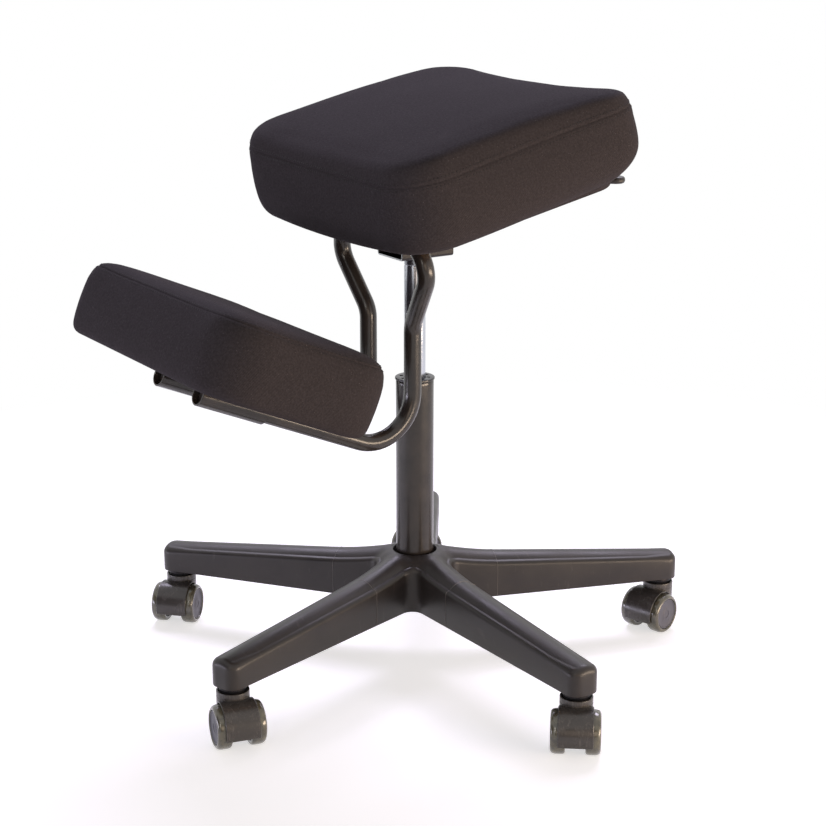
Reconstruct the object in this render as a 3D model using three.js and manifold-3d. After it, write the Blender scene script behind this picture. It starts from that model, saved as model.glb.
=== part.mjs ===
// A height-adjustable kneeling chair on a five-star castor base, in millimetres, +Z up.
// The sitter faces -Y. The swivel axis of the gas lift is the working origin, and the last step
// moves the chair so that its own origin is the middle of its footprint on the floor.
import * as THREE from 'three';
import { mergeVertices } from 'three/addons/utils/BufferGeometryUtils.js';
import Module from 'manifold-3d';

const wasm = await Module();
wasm.setup();

// Driving dimensions
const legCount = 5;
const stemCircleRadius = 355;
const firstLegAngle = THREE.MathUtils.degToRad(0.7);
const wheelRadius = 28;
const castorWidth = 61.4;
const castorTrail = 20;
const columnDiameter = 50;
const columnRimHeight = 383;
const pressureTubeDiameter = 28;
const liftStroke = 120;
const channelFloorHeight = 548;
const frameTubeDiameter = 22.5;
const frameHalfSpacing = 54;
const seatTilt = THREE.MathUtils.degToRad(12.3);
const kneeTilt = THREE.MathUtils.degToRad(23);
const seatWidth = 438;
const seatDepth = 366;
const seatThickness = 118;
const kneePadWidth = 444;
const kneePadDepth = 241;
const kneePadThickness = 96;

// Clearances that every seat, bore and cut shares
const seatGap = 0.3;
const overrun = 6;

// Finishes
const finish = {
  nylon: { color: 0x2b2827, roughness: 0.5, metalness: 0 },
  powderCoat: { color: 0x1d1a19, roughness: 0.42, metalness: 0.1 },
  chrome: { color: 0xd8dadd, roughness: 0.08, metalness: 1 },
  steel: { color: 0x9a9c9f, roughness: 0.35, metalness: 1 },
  blackPlastic: { color: 0x141313, roughness: 0.45, metalness: 0 },
  greyPlastic: { color: 0x55545e, roughness: 0.55, metalness: 0 },
  treadRubber: { color: 0x57554a, roughness: 0.3, metalness: 0 },
  plywood: { color: 0xb98f5e, roughness: 0.7, metalness: 0 },
  fabric: { color: 0x2a2526, roughness: 0.95, metalness: 0 },
};

// Solid modelling helpers
function toSolid(geometry) {
  const bare = geometry.clone();
  bare.deleteAttribute('normal');
  bare.deleteAttribute('uv');
  const merged = mergeVertices(bare);
  return new wasm.Manifold(new wasm.Mesh({
    numProp: 3,
    vertProperties: new Float32Array(merged.attributes.position.array),
    triVerts: new Uint32Array(merged.index.array),
  }));
}

function toGeometry(solid) {
  const mesh = solid.getMesh();
  const geometry = new THREE.BufferGeometry();
  geometry.setAttribute('position', new THREE.BufferAttribute(mesh.vertProperties, 3));
  geometry.setIndex(new THREE.BufferAttribute(mesh.triVerts, 1));
  return geometry;
}

const join = (...solids) => solids.reduce((whole, next) => whole.add(next));
const cut = (solid, ...tools) => tools.reduce((rest, tool) => rest.subtract(tool), solid);

function place(geometry, { move = [0, 0, 0], turn = [0, 0, 0] }) {
  const matrix = new THREE.Matrix4().makeRotationFromEuler(new THREE.Euler(...turn));
  matrix.setPosition(...move);
  return geometry.applyMatrix4(matrix);
}

// A turned piece about Z. The profile is a list of [radius, height].
function turned(profile, sides) {
  const points = profile.map(([radius, height]) => new THREE.Vector2(radius, height));
  return new THREE.LatheGeometry(points, sides).rotateX(Math.PI / 2);
}

// A round bar or hole along an axis, given by its two ends.
function bar(radius, from, to, sides) {
  const start = new THREE.Vector3(...from);
  const end = new THREE.Vector3(...to);
  const along = new THREE.Vector3().subVectors(end, start);
  const geometry = new THREE.CylinderGeometry(radius, radius, along.length(), sides);
  const up = new THREE.Vector3(0, 1, 0);
  const turn = new THREE.Quaternion().setFromUnitVectors(up, along.clone().normalize());
  const middle = start.add(end).multiplyScalar(1 / 2);
  return geometry.applyQuaternion(turn).translate(middle.x, middle.y, middle.z);
}

function block([sizeX, sizeY, sizeZ], [x, y, z]) {
  return new THREE.BoxGeometry(sizeX, sizeY, sizeZ).translate(x, y, z);
}

// A flat piece whose outline lies in XY, from the height bottom to the height top.
function slab(shape, bottom, top, curveSegments = 6) {
  const options = { depth: top - bottom, bevelEnabled: false, curveSegments };
  return new THREE.ExtrudeGeometry(shape, options).translate(0, 0, bottom);
}

function roundedRectangle(halfX, halfY, radius) {
  const shape = new THREE.Shape();
  shape.absarc(halfX - radius, halfY - radius, radius, 0, Math.PI / 2);
  shape.absarc(radius - halfX, halfY - radius, radius, Math.PI / 2, Math.PI);
  shape.absarc(radius - halfX, radius - halfY, radius, Math.PI, Math.PI * 3 / 2);
  shape.absarc(halfX - radius, radius - halfY, radius, Math.PI * 3 / 2, Math.PI * 2);
  return shape;
}

// A closed skin over rings of equally many points, with a flat fan over each end ring.
function loft(rings) {
  const count = rings[0].length;
  const positions = rings.flat(2);
  const indices = [];
  rings.slice(1).forEach((ring, i) => {
    for (let k = 0; k < count; k += 1) {
      const next = (k + 1) % count;
      const low = i * count;
      const high = low + count;
      indices.push(low + k, low + next, high + next, low + k, high + next, high + k);
    }
  });
  const caps = [[0, true], [(rings.length - 1) * count, false]];
  for (const [first, reversed] of caps) {
    for (let k = 1; k < count - 1; k += 1) {
      const fan = [first, first + k, first + k + 1];
      indices.push(...(reversed ? fan.reverse() : fan));
    }
  }
  const geometry = new THREE.BufferGeometry();
  geometry.setAttribute('position', new THREE.Float32BufferAttribute(positions, 3));
  geometry.setIndex(indices);
  return geometry;
}

// The centre line of a bent tube: straight runs between corners, each corner rounded to its radius.
class BentLine extends THREE.Curve {
  constructor(corners, bendRadii, bendSteps) {
    super();
    this.runs = [];
    let last = corners[0];
    for (let i = 1; i < corners.length - 1; i += 1) {
      const inward = new THREE.Vector3().subVectors(corners[i], corners[i - 1]).normalize();
      const outward = new THREE.Vector3().subVectors(corners[i + 1], corners[i]).normalize();
      const turn = inward.angleTo(outward);
      const radius = bendRadii[i - 1];
      const tangent = radius * Math.tan(turn / 2);
      const start = corners[i].clone().addScaledVector(inward, -tangent);
      const side = outward.clone().addScaledVector(inward, -Math.cos(turn)).normalize();
      const centre = start.clone().addScaledVector(side, radius);
      this.runs.push({ start: last, end: start, steps: 1 });
      this.runs.push({ centre, inward, side, radius, turn, steps: bendSteps[i - 1] });
      last = corners[i].clone().addScaledVector(outward, tangent);
    }
    this.runs.push({ start: last, end: corners[corners.length - 1], steps: 1 });
    this.steps = this.runs.reduce((sum, run) => sum + run.steps, 0);
  }

  getPoint(share, target = new THREE.Vector3()) {
    let left = share * this.steps;
    let run = this.runs[0];
    for (const candidate of this.runs) {
      run = candidate;
      if (left <= run.steps) break;
      if (candidate !== this.runs[this.runs.length - 1]) left -= run.steps;
    }
    const part = left / run.steps;
    if (run.start) return target.lerpVectors(run.start, run.end, part);
    const angle = run.turn * part;
    return target.copy(run.centre)
      .addScaledVector(run.side, -run.radius * Math.cos(angle))
      .addScaledVector(run.inward, run.radius * Math.sin(angle));
  }

  getUtoTmapping(share) {
    return share;
  }
}

function bentBar(line, radius, sides) {
  const section = new THREE.Shape();
  section.absarc(0, 0, radius, 0, Math.PI * 2);
  const curveSegments = sides / 2;
  return new THREE.ExtrudeGeometry(section, { steps: line.steps, extrudePath: line, curveSegments });
}

function piece(name, geometry, look) {
  const mesh = new THREE.Mesh(geometry, new THREE.MeshStandardMaterial(look));
  mesh.name = name;
  return mesh;
}

// Castors. Each is modelled about its stem on the floor, trailing towards +X.
const wheelSides = 20;
const coreSides = 16;
const axleHeight = wheelRadius * Math.cos(Math.PI / wheelSides);
const axleRadius = 3;
const wheelWidth = 18.7;
const wheelInner = castorWidth / 2 - wheelWidth;
const coreRadius = 21.3;
const coreHubRadius = 7.5;
const coreFaceRecess = 1.1;
const axleCover = 2.2;
const shoulderRiseShare = 0.2;
const shoulderFlatShare = 0.6;
const webHalfThickness = 5;
const webHubRadius = 9;
const hoodRadius = 30.6;
const hoodWall = 1.7;
const hoodHalfWidth = 21.6;
const hoodFrontAngle = THREE.MathUtils.degToRad(-18);
const hoodBackAngle = THREE.MathUtils.degToRad(128);
const wheelClearance = 0.9;
const stemRadius = 5.5;
const stemFlangeRadius = 17.2;
const stemFlangeThickness = 9;
const collarRadius = 20.5;
const collarTop = 66;
const collarBottom = 34;
const collarRecess = 4;
const collarLip = 2.4;
const stemBite = 24;
const legTipBottom = 73;
const castorHeadings = [264.6, 229.5, 228, 257.6, 290];
const headingFromCamera = 57.3;

const stemTop = legTipBottom + stemBite;
const flangeTop = legTipBottom - seatGap;
const flangeBottom = flangeTop - stemFlangeThickness;
const stemBottom = collarTop - collarRecess - stemFlangeRadius;

function castorStem() {
  const chamfer = stemRadius / 4;
  return turned([
    [0, stemBottom],
    [stemRadius, stemBottom],
    [stemRadius, flangeBottom],
    [stemFlangeRadius, flangeBottom],
    [stemFlangeRadius, flangeTop],
    [stemRadius, flangeTop],
    [stemRadius, stemTop - chamfer],
    [stemRadius - chamfer, stemTop],
    [0, stemTop],
  ], 10);
}

function castorBody() {
  const ring = new THREE.Shape();
  ring.absarc(0, 0, hoodRadius, hoodFrontAngle, hoodBackAngle);
  ring.absarc(0, 0, hoodRadius - hoodWall, hoodBackAngle, hoodFrontAngle, true);
  const hood = slab(ring, -hoodHalfWidth, hoodHalfWidth, 7);

  const fan = new THREE.Shape();
  fan.moveTo(0, 0);
  fan.absarc(0, 0, hoodRadius - hoodWall / 2, hoodFrontAngle, hoodBackAngle);
  const web = slab(fan, -webHalfThickness, webHalfThickness, 6);
  const upright = { move: [castorTrail, 0, axleHeight], turn: [Math.PI / 2, 0, 0] };

  const hub = bar(webHubRadius, [castorTrail, -webHalfThickness, axleHeight],
    [castorTrail, webHalfThickness, axleHeight], 12);
  const collar = turned([
    [0, collarBottom],
    [collarRadius, collarBottom],
    [collarRadius, collarTop],
    [collarRadius - collarLip, collarTop],
    [collarRadius - collarLip, collarTop - collarRecess],
    [0, collarTop - collarRecess],
  ], 18);

  // The two wheels turn inside the collar's sides, so the collar is cut back round them.
  const room = wheelRadius + wheelClearance;
  const wheelWell = (side) => {
    const inner = side * webHalfThickness;
    const outer = side * castorWidth;
    return bar(room, [castorTrail, inner, axleHeight], [castorTrail, outer, axleHeight], 20);
  };
  const stemBore = bar(stemRadius + seatGap, [0, 0, stemBottom - seatGap], [0, 0, collarTop], 10);
  const axleBore = bar(axleRadius + seatGap, [castorTrail, -castorWidth, axleHeight],
    [castorTrail, castorWidth, axleHeight], 10);
  const collarCut = cut(toSolid(collar), toSolid(wheelWell(1)), toSolid(wheelWell(-1)));
  const body = join(
    toSolid(place(hood, upright)),
    toSolid(place(web, upright)),
    toSolid(hub),
    collarCut,
  );
  return toGeometry(cut(body, toSolid(stemBore), toSolid(axleBore)));
}

function castorAxle() {
  const reach = castorWidth / 2 - axleCover - seatGap;
  return bar(axleRadius, [castorTrail, -reach, axleHeight], [castorTrail, reach, axleHeight], 10);
}

// Half of a wheel pair, turned about Z and then laid along Y on the side it belongs to.
function layWheel(geometry, side, sides) {
  const facetDown = Math.PI / sides;
  const upright = { move: [castorTrail, 0, axleHeight], turn: [-side * Math.PI / 2, 0, 0] };
  return place(geometry.rotateZ(facetDown), upright);
}

function wheelCore(side) {
  const face = castorWidth / 2 - coreFaceRecess;
  const chamfer = coreFaceRecess;
  const rim = coreRadius - seatGap;
  const inner = wheelInner + coreFaceRecess;
  const hubStart = webHalfThickness + seatGap;
  const bore = axleRadius + seatGap;
  return layWheel(turned([
    [0, castorWidth / 2 - axleCover],
    [bore, castorWidth / 2 - axleCover],
    [bore, hubStart],
    [coreHubRadius, hubStart],
    [rim, inner],
    [rim, face - chamfer],
    [rim - chamfer, face],
    [0, face],
  ], coreSides), side, coreSides);
}

function wheelTread(side) {
  const outer = castorWidth / 2;
  const inner = wheelInner;
  const shoulder = wheelRadius - coreRadius;
  const rise = shoulder * shoulderRiseShare;
  return layWheel(turned([
    [coreRadius, inner + rise],
    [wheelRadius - shoulder / 2, inner],
    [wheelRadius, inner + shoulder * shoulderFlatShare],
    [wheelRadius, outer - shoulder * shoulderFlatShare],
    [wheelRadius - shoulder / 2, outer],
    [coreRadius, outer - rise],
    [coreRadius, inner + rise],
  ], wheelSides), side, wheelSides);
}

function castor(number, heading) {
  const group = new THREE.Group();
  group.add(piece(`castor_stem_${number}`, castorStem(), finish.steel));
  const swivel = new THREE.Group();
  swivel.rotation.z = heading;
  swivel.add(piece(`castor_body_${number}`, castorBody(), finish.blackPlastic));
  swivel.add(piece(`castor_axle_${number}`, castorAxle(), finish.steel));
  for (const [side, letter] of [[1, 'a'], [-1, 'b']]) {
    swivel.add(piece(`wheel_core_${number}${letter}`, wheelCore(side), finish.greyPlastic));
    swivel.add(piece(`wheel_tread_${number}${letter}`, wheelTread(side), finish.treadRubber));
  }
  group.add(swivel);
  return group;
}

// Star base, one moulding: a hub with five hollow, ribbed legs
const hubRimHeight = 147;
const hubRimRadius = 32.5;
const hubRimDrop = 2.4;
const hubShoulderHeight = 134;
const hubBottom = 76;
const hubCrotchRadius = 54;
const legRootRadius = 40;
const legRootHalfWidth = 25.5;
const legTipHalfWidth = 21;
const legRootEdgeHeight = 131;
const legTipEdgeHeight = 105;
const legRootCrown = 9;
const legTipCrown = 4.2;
const legFlareReach = 120;
const legFlareRise = 6.5;
const legEdgeRound = 4;
const legRoundShares = [[0, 1], [0.3, 0.3], [1, 0]];
const legCrownShare = 0.7;
const legTipInsetShares = [0.18, 0.45, 0.7];
const legTipReach = 21;
const legTipRound = 14;
const legWall = 4;
const pocketStart = 70;
const socketWall = 6;
const ribThickness = 3;
const ribSpacing = 52;
const ribRise = 8;
const hubPocketOuter = 46;
const hubPocketTop = 124;
const boreWall = 5;
const wellRadius = 29;
const wellDepth = 12;
const columnTaper = THREE.MathUtils.degToRad(1.5);
const columnBottom = 84;

const taperTop = hubRimHeight - wellDepth;
const columnFootRadius = columnDiameter / 2 - (taperTop - columnBottom) * Math.tan(columnTaper);
const legEnd = stemCircleRadius + legTipReach;

function legSizes(distance) {
  const along = (distance - legRootRadius) / (legEnd - legRootRadius);
  const flare = Math.max(0, (legFlareReach - distance) / (legFlareReach - legRootRadius));
  const rise = legFlareRise * flare * flare;
  return {
    halfWidth: THREE.MathUtils.lerp(legRootHalfWidth, legTipHalfWidth, along),
    edge: THREE.MathUtils.lerp(legRootEdgeHeight, legTipEdgeHeight, along) + rise,
    bottom: THREE.MathUtils.lerp(hubBottom, legTipBottom, along),
    crown: THREE.MathUtils.lerp(legRootCrown, legTipCrown, along),
  };
}

// The leg's section at a distance from the swivel axis, as a ring of points [x, y, z].
function legSection(distance, inset, drop) {
  const { halfWidth, edge, bottom, crown } = legSizes(distance);
  const half = halfWidth - inset;
  const top = edge - drop;
  const right = legRoundShares.map(([inShare, downShare]) => (
    [half - legEdgeRound * inShare, top - legEdgeRound * downShare]
  ));
  const arch = [[half / 2, top + crown * legCrownShare], [0, top + crown]];
  const rightSide = [[half, bottom], ...right, ...arch];
  const leftSide = rightSide.slice(0, -1).reverse().map(([y, z]) => [-y, z]);
  return [...rightSide, ...leftSide].map(([y, z]) => [distance, y, z]);
}

function legOuter() {
  const [firstInset, secondInset, lastInset] = legTipInsetShares;
  const flareMiddle = (legRootRadius * 2 + legFlareReach) / 3;
  const rings = [
    legSection(legRootRadius, 0, 0),
    legSection(flareMiddle, 0, 0),
    legSection(legFlareReach, 0, 0),
    legSection(legEnd - legTipRound, 0, 0),
    legSection(legEnd - legTipRound / 3, legTipRound * firstInset, legTipCrown / 8),
    legSection(legEnd - legTipRound / 12, legTipRound * secondInset, legTipCrown / 3),
    legSection(legEnd, legTipRound * lastInset, legTipCrown * 3 / 4),
  ];
  return toSolid(loft(rings));
}

// The space under a leg: its section less the wall, open below, with cross ribs left standing.
function legPocket() {
  const pocketEnd = stemCircleRadius - stemRadius - socketWall - legWall;
  const rings = [pocketStart, pocketEnd].map((distance) => {
    const { halfWidth, edge, bottom } = legSizes(distance);
    const half = halfWidth - legWall;
    const roof = edge - legWall;
    const sill = bottom - overrun;
    return [[half, sill], [half, roof], [-half, roof], [-half, sill]].map(([y, z]) => [distance, y, z]);
  });
  let pocket = toSolid(loft(rings));
  const ribCount = Math.floor((pocketEnd - pocketStart) / ribSpacing);
  const step = (pocketEnd - pocketStart) / (ribCount + 1);
  for (let i = 1; i <= ribCount; i += 1) {
    const ribHeight = legRootEdgeHeight - hubBottom;
    const rib = block([ribThickness, legRootHalfWidth * 2, ribHeight],
      [pocketStart + step * i, 0, hubBottom + ribRise + ribHeight / 2]);
    pocket = cut(pocket, toSolid(rib));
  }
  return pocket;
}

// The hub's outline: five legs wide at its rim, with a round crotch between each two.
function hubOutline() {
  const halfTurn = Math.PI / legCount;
  const side = legRootHalfWidth;
  const filletRadius = (hubCrotchRadius * Math.sin(halfTurn) - side) / (1 - Math.sin(halfTurn));
  const centreDistance = hubCrotchRadius + filletRadius;
  const rimDistance = centreDistance * Math.cos(halfTurn) + filletRadius / 2;
  const shape = new THREE.Shape();
  const point = (angle, distance, across) => [
    distance * Math.cos(angle) - across * Math.sin(angle),
    distance * Math.sin(angle) + across * Math.cos(angle),
  ];
  for (let i = 0; i < legCount; i += 1) {
    const angle = halfTurn * 2 * i;
    const crotch = angle + halfTurn;
    if (i === 0) shape.moveTo(...point(angle, rimDistance, -side));
    else shape.lineTo(...point(angle, rimDistance, -side));
    shape.lineTo(...point(angle, rimDistance, side));
    const [x, y] = point(crotch, centreDistance, 0);
    const start = angle - Math.PI / 2;
    const end = start + halfTurn * 2 - Math.PI;
    shape.absarc(x, y, filletRadius, start, end, true);
  }
  shape.closePath();
  return shape;
}

function starBase() {
  const bevel = legEdgeRound * 0.7;
  const prism = new THREE.ExtrudeGeometry(hubOutline(), {
    depth: hubShoulderHeight - hubBottom - bevel,
    bevelEnabled: true,
    bevelThickness: bevel,
    bevelSize: bevel,
    bevelOffset: -bevel,
    bevelSegments: 1,
    curveSegments: 5,
  }).translate(0, 0, hubBottom);
  const underTrim = block([legEnd, legEnd, overrun], [0, 0, hubBottom - overrun / 2]);
  const boss = turned([
    [0, hubBottom],
    [hubRimRadius, hubBottom],
    [hubCrotchRadius, hubShoulderHeight - legEdgeRound],
    [hubCrotchRadius - legEdgeRound, hubShoulderHeight + legEdgeRound / 4],
    [(hubCrotchRadius + hubRimRadius) / 2, hubRimHeight - hubRimDrop * 2],
    [hubRimRadius + legEdgeRound, hubRimHeight - hubRimDrop],
    [hubRimRadius, hubRimHeight - hubRimDrop / 4],
    [hubRimRadius - hubRimDrop / 2, hubRimHeight],
    [0, hubRimHeight],
  ], 24);
  const legs = [];
  const pockets = [];
  const sockets = [];
  const outer = legOuter();
  const pocket = legPocket();
  const socketBore = bar(stemRadius + seatGap, [stemCircleRadius, 0, legTipBottom - overrun],
    [stemCircleRadius, 0, stemTop + seatGap], 10);
  for (let i = 0; i < legCount; i += 1) {
    const degrees = 360 / legCount * i;
    legs.push(outer.rotate([0, 0, degrees]));
    pockets.push(pocket.rotate([0, 0, degrees]));
    sockets.push(toSolid(socketBore).rotate([0, 0, degrees]));
  }

  // Under the hub a ring-shaped pocket leaves a wall round the column, joined to the legs by webs.
  const boreOuter = columnDiameter / 2 + boreWall;
  let ringPocket = toSolid(turned([
    [boreOuter, hubBottom - overrun],
    [hubPocketOuter, hubBottom - overrun],
    [hubPocketOuter, hubPocketTop],
    [boreOuter, hubPocketTop],
    [boreOuter, hubBottom - overrun],
  ], 20));
  for (let i = 0; i < legCount; i += 1) {
    const web = block([hubPocketOuter, ribThickness, hubPocketTop], [hubPocketOuter / 2, 0, hubPocketTop / 2]);
    ringPocket = cut(ringPocket, toSolid(web).rotate([0, 0, 360 / legCount * (i + 1 / 2)]));
  }
  const fit = seatGap;
  const columnBore = turned([
    [0, hubBottom - overrun],
    [columnFootRadius + fit, hubBottom - overrun],
    [columnFootRadius + fit, columnBottom],
    [columnDiameter / 2 + fit, taperTop],
    [wellRadius, taperTop],
    [wellRadius, hubRimHeight + overrun],
    [0, hubRimHeight + overrun],
  ], 24);
  const whole = join(cut(toSolid(prism), toSolid(underTrim)), toSolid(boss), ...legs);
  return toGeometry(cut(whole, ...pockets, ...sockets, ringPocket, toSolid(columnBore)));
}

// Gas lift
const columnWall = 2.5;
const columnFloor = 4;
const bushDepth = 75;
const bushFlangeRadius = 26.2;
const bushFlangeThickness = 3;
const bushSlotCount = 8;
const bushSlotSize = 4;
const coneHeight = 36;
const coneDrop = 1;
const tubeOverlap = 80;
const tubeWall = 2.5;
const tubeEndPlate = 6;
const tubeHeadWall = 8;
const rodRadius = 5;
const pistonLength = 14;
const rodShoulderRadius = 9;
const rodShoulderThickness = 4;
const bearingRadius = 15;
const bearingThickness = 6;
const clipRadius = 10;
const clipThickness = 1.6;
const valveRadius = 4;
const valveStand = 5;
const valveTravel = 2.2;
const valveSeatDepth = 7;

const tubeRadius = pressureTubeDiameter / 2;
const tubeTop = channelFloorHeight + coneHeight;
const tubeBottom = columnRimHeight - tubeOverlap;
const cavityBottom = tubeBottom + tubeEndPlate;
const valveBoreBottom = tubeTop - valveSeatDepth - valveTravel - seatGap;
const pistonBottom = cavityBottom + seatGap * 2;
const columnFloorTop = columnBottom + columnFloor;
const bearingBottom = columnFloorTop + seatGap;
const bearingTop = bearingBottom + bearingThickness;

function columnTube() {
  const outer = columnDiameter / 2;
  const inner = outer - columnWall;
  const foot = columnFootRadius - columnWall;
  return turned([
    [rodRadius + seatGap * 3, columnBottom],
    [columnFootRadius, columnBottom],
    [outer, taperTop],
    [outer, columnRimHeight],
    [inner, columnRimHeight],
    [inner, taperTop],
    [foot, columnFloorTop],
    [rodRadius + seatGap * 3, columnFloorTop],
    [rodRadius + seatGap * 3, columnBottom],
  ], 24);
}

function guideBush() {
  const flangeBottomHeight = columnRimHeight + seatGap;
  const flangeTopHeight = flangeBottomHeight + bushFlangeThickness;
  const sleeve = columnDiameter / 2 - columnWall - seatGap;
  const bore = tubeRadius + seatGap;
  const ring = toSolid(turned([
    [bore, columnRimHeight - bushDepth],
    [sleeve, columnRimHeight - bushDepth],
    [sleeve, flangeBottomHeight],
    [bushFlangeRadius, flangeBottomHeight],
    [bushFlangeRadius, flangeTopHeight],
    [bore, flangeTopHeight],
    [bore, columnRimHeight - bushDepth],
  ], 24));
  const slots = [];
  for (let i = 0; i < bushSlotCount; i += 1) {
    const slot = toSolid(block([bushSlotSize, bushSlotSize, bushSlotSize * 2],
      [(bore + sleeve) / 2, 0, flangeTopHeight]));
    slots.push(slot.rotate([0, 0, 360 / bushSlotCount * i]));
  }
  return toGeometry(cut(ring, ...slots));
}

function pressureTube() {
  const bore = tubeRadius - tubeWall;
  return turned([
    [rodRadius + seatGap, tubeBottom],
    [tubeRadius - seatGap, tubeBottom],
    [tubeRadius, tubeBottom + seatGap],
    [tubeRadius, channelFloorHeight],
    [tubeRadius - coneDrop, tubeTop],
    [valveRadius + seatGap, tubeTop],
    [valveRadius + seatGap, valveBoreBottom],
    [0, valveBoreBottom],
    [0, valveBoreBottom - tubeHeadWall],
    [bore, valveBoreBottom - tubeHeadWall],
    [bore, cavityBottom],
    [rodRadius + seatGap, cavityBottom],
    [rodRadius + seatGap, tubeBottom],
  ], 20);
}

function valveButton() {
  const bottom = tubeTop - valveSeatDepth;
  return bar(valveRadius, [0, 0, bottom], [0, 0, tubeTop + valveStand], 12);
}

function pistonRod() {
  const piston = tubeRadius - tubeWall - seatGap;
  const foot = columnBottom - clipThickness * 2 - seatGap;
  return turned([
    [0, foot],
    [rodRadius, foot],
    [rodRadius, bearingTop + seatGap],
    [rodShoulderRadius, bearingTop + seatGap],
    [rodShoulderRadius, bearingTop + seatGap + rodShoulderThickness],
    [rodRadius, bearingTop + seatGap + rodShoulderThickness],
    [rodRadius, pistonBottom],
    [piston, pistonBottom],
    [piston, pistonBottom + pistonLength],
    [0, pistonBottom + pistonLength],
  ], 12);
}

function washer(inner, outer, bottom, top) {
  return turned([[inner, bottom], [outer, bottom], [outer, top], [inner, top], [inner, bottom]], 16);
}

function gasLift() {
  const group = new THREE.Group();
  const rodHole = rodRadius + seatGap;
  const clipTop = columnBottom - seatGap;
  const bearing = washer(rodHole, bearingRadius, bearingBottom, bearingTop);
  const clip = washer(rodHole, clipRadius, clipTop - clipThickness, clipTop);
  group.add(piece('column_tube', columnTube(), finish.powderCoat));
  group.add(piece('guide_bush', guideBush(), finish.blackPlastic));
  group.add(piece('thrust_bearing', bearing, finish.steel));
  group.add(piece('rod_clip', clip, finish.steel));
  group.add(piece('piston_rod', pistonRod(), finish.steel));
  group.add(piece('pressure_tube', pressureTube(), finish.chrome));
  group.add(piece('valve_button', valveButton(), finish.steel));
  return group;
}

// Frame tube: both knee runs, uprights, splayed necks and the cross bar under the seat, in one bend plan
const tubeForward = 38;
const lowerBendRadius = 58.3;
const lowerBendStart = 383.5;
const neckHeightShare = 0.442814;
const neckBendRadius = 20;
const neckSplay = 0.715;
const neckLean = 0.14;
const crossBarRise = 33.1;
const crossBarBendRadius = 27;
const tubeSides = 12;
const kneeRunToPad = 200;
const sleeveLength = 95;
const sleeveFrontReach = 41.5;
const plugThickness = 3;
const plugRecess = 8;

const crossBarHeight = channelFloorHeight + crossBarRise;
const neckHeight = THREE.MathUtils.lerp(lowerBendStart, crossBarHeight, neckHeightShare);
const kneeDirection = new THREE.Vector3(0, -Math.cos(kneeTilt), Math.sin(kneeTilt));
const kneeRunStart = new THREE.Vector3(
  0,
  -tubeForward - lowerBendRadius * (1 + Math.sin(kneeTilt)),
  lowerBendStart - lowerBendRadius * Math.cos(kneeTilt),
);
const padCentre = kneeRunStart.clone().addScaledVector(kneeDirection, kneeRunToPad);
const kneeRunLength = kneeRunToPad + sleeveFrontReach - plugRecess - plugThickness - seatGap;
const crossBarForward = tubeForward + (crossBarHeight - neckHeight) * neckLean;
const neckTopReach = frameHalfSpacing + (crossBarHeight - neckHeight) * neckSplay;

function frameTube() {
  const front = kneeRunStart.clone().addScaledVector(kneeDirection, kneeRunLength);
  const cornerDrop = lowerBendRadius * Math.tan(Math.PI / 4 + kneeTilt / 2);
  const side = (sign) => [
    new THREE.Vector3(sign * frameHalfSpacing, front.y, front.z),
    new THREE.Vector3(sign * frameHalfSpacing, -tubeForward, lowerBendStart - cornerDrop),
    new THREE.Vector3(sign * frameHalfSpacing, -tubeForward, neckHeight),
    new THREE.Vector3(sign * neckTopReach, -crossBarForward, crossBarHeight),
  ];
  const corners = [...side(1), ...side(-1).reverse()];
  const radii = [lowerBendRadius, neckBendRadius, crossBarBendRadius];
  const steps = [10, 4, 9];
  const line = new BentLine(corners, [...radii, ...radii.slice().reverse()], [...steps, ...steps.slice().reverse()]);
  return bentBar(line, frameTubeDiameter / 2, tubeSides);
}

// Seat: everything that follows the seat's slope is placed in one tilted group
const channelWidth = 60;
const channelWall = 2.5;
const channelFront = -38;
const channelBack = 40;
const socketThickness = 3;
const platePitchGap = 2.7;
const plateHalfWidth = 85;
const plateFront = -66;
const plateBack = 125;
const plateCorner = 14;
const plateScrewInset = 16;
const plateScrewHole = 3.5;
const boardThickness = 12;
const boardInset = 40;
const boardCorner = 34;
const seatSetBack = 49.3;
const leverPivotBack = 27;
const leverRodRadius = 4;
const leverRodGap = 0.3;
const leverHubRadius = 7;
const leverHubHalfLength = 10;
const leverPinRadius = 3;
const leverPinHead = 5.5;
const leverPinHeadThickness = 2.5;
const leverTipForward = 8;
const leverBendBack = 92;
const leverBendRadius = 24;
const paddleSide = 121;
const paddleBack = 222;
const paddleRise = 49.7;
const paddleLength = 36;
const paddleHalfWidth = 13;
const paddleThickness = 8.5;

const seatPlaneHeight = crossBarHeight
  + (frameTubeDiameter / 2 + seatGap) / Math.cos(seatTilt)
  + crossBarForward * Math.tan(seatTilt);
const leverHeight = tubeTop + valveStand + leverRodGap + leverRodRadius;
const paddleHeight = leverHeight + paddleRise;

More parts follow.
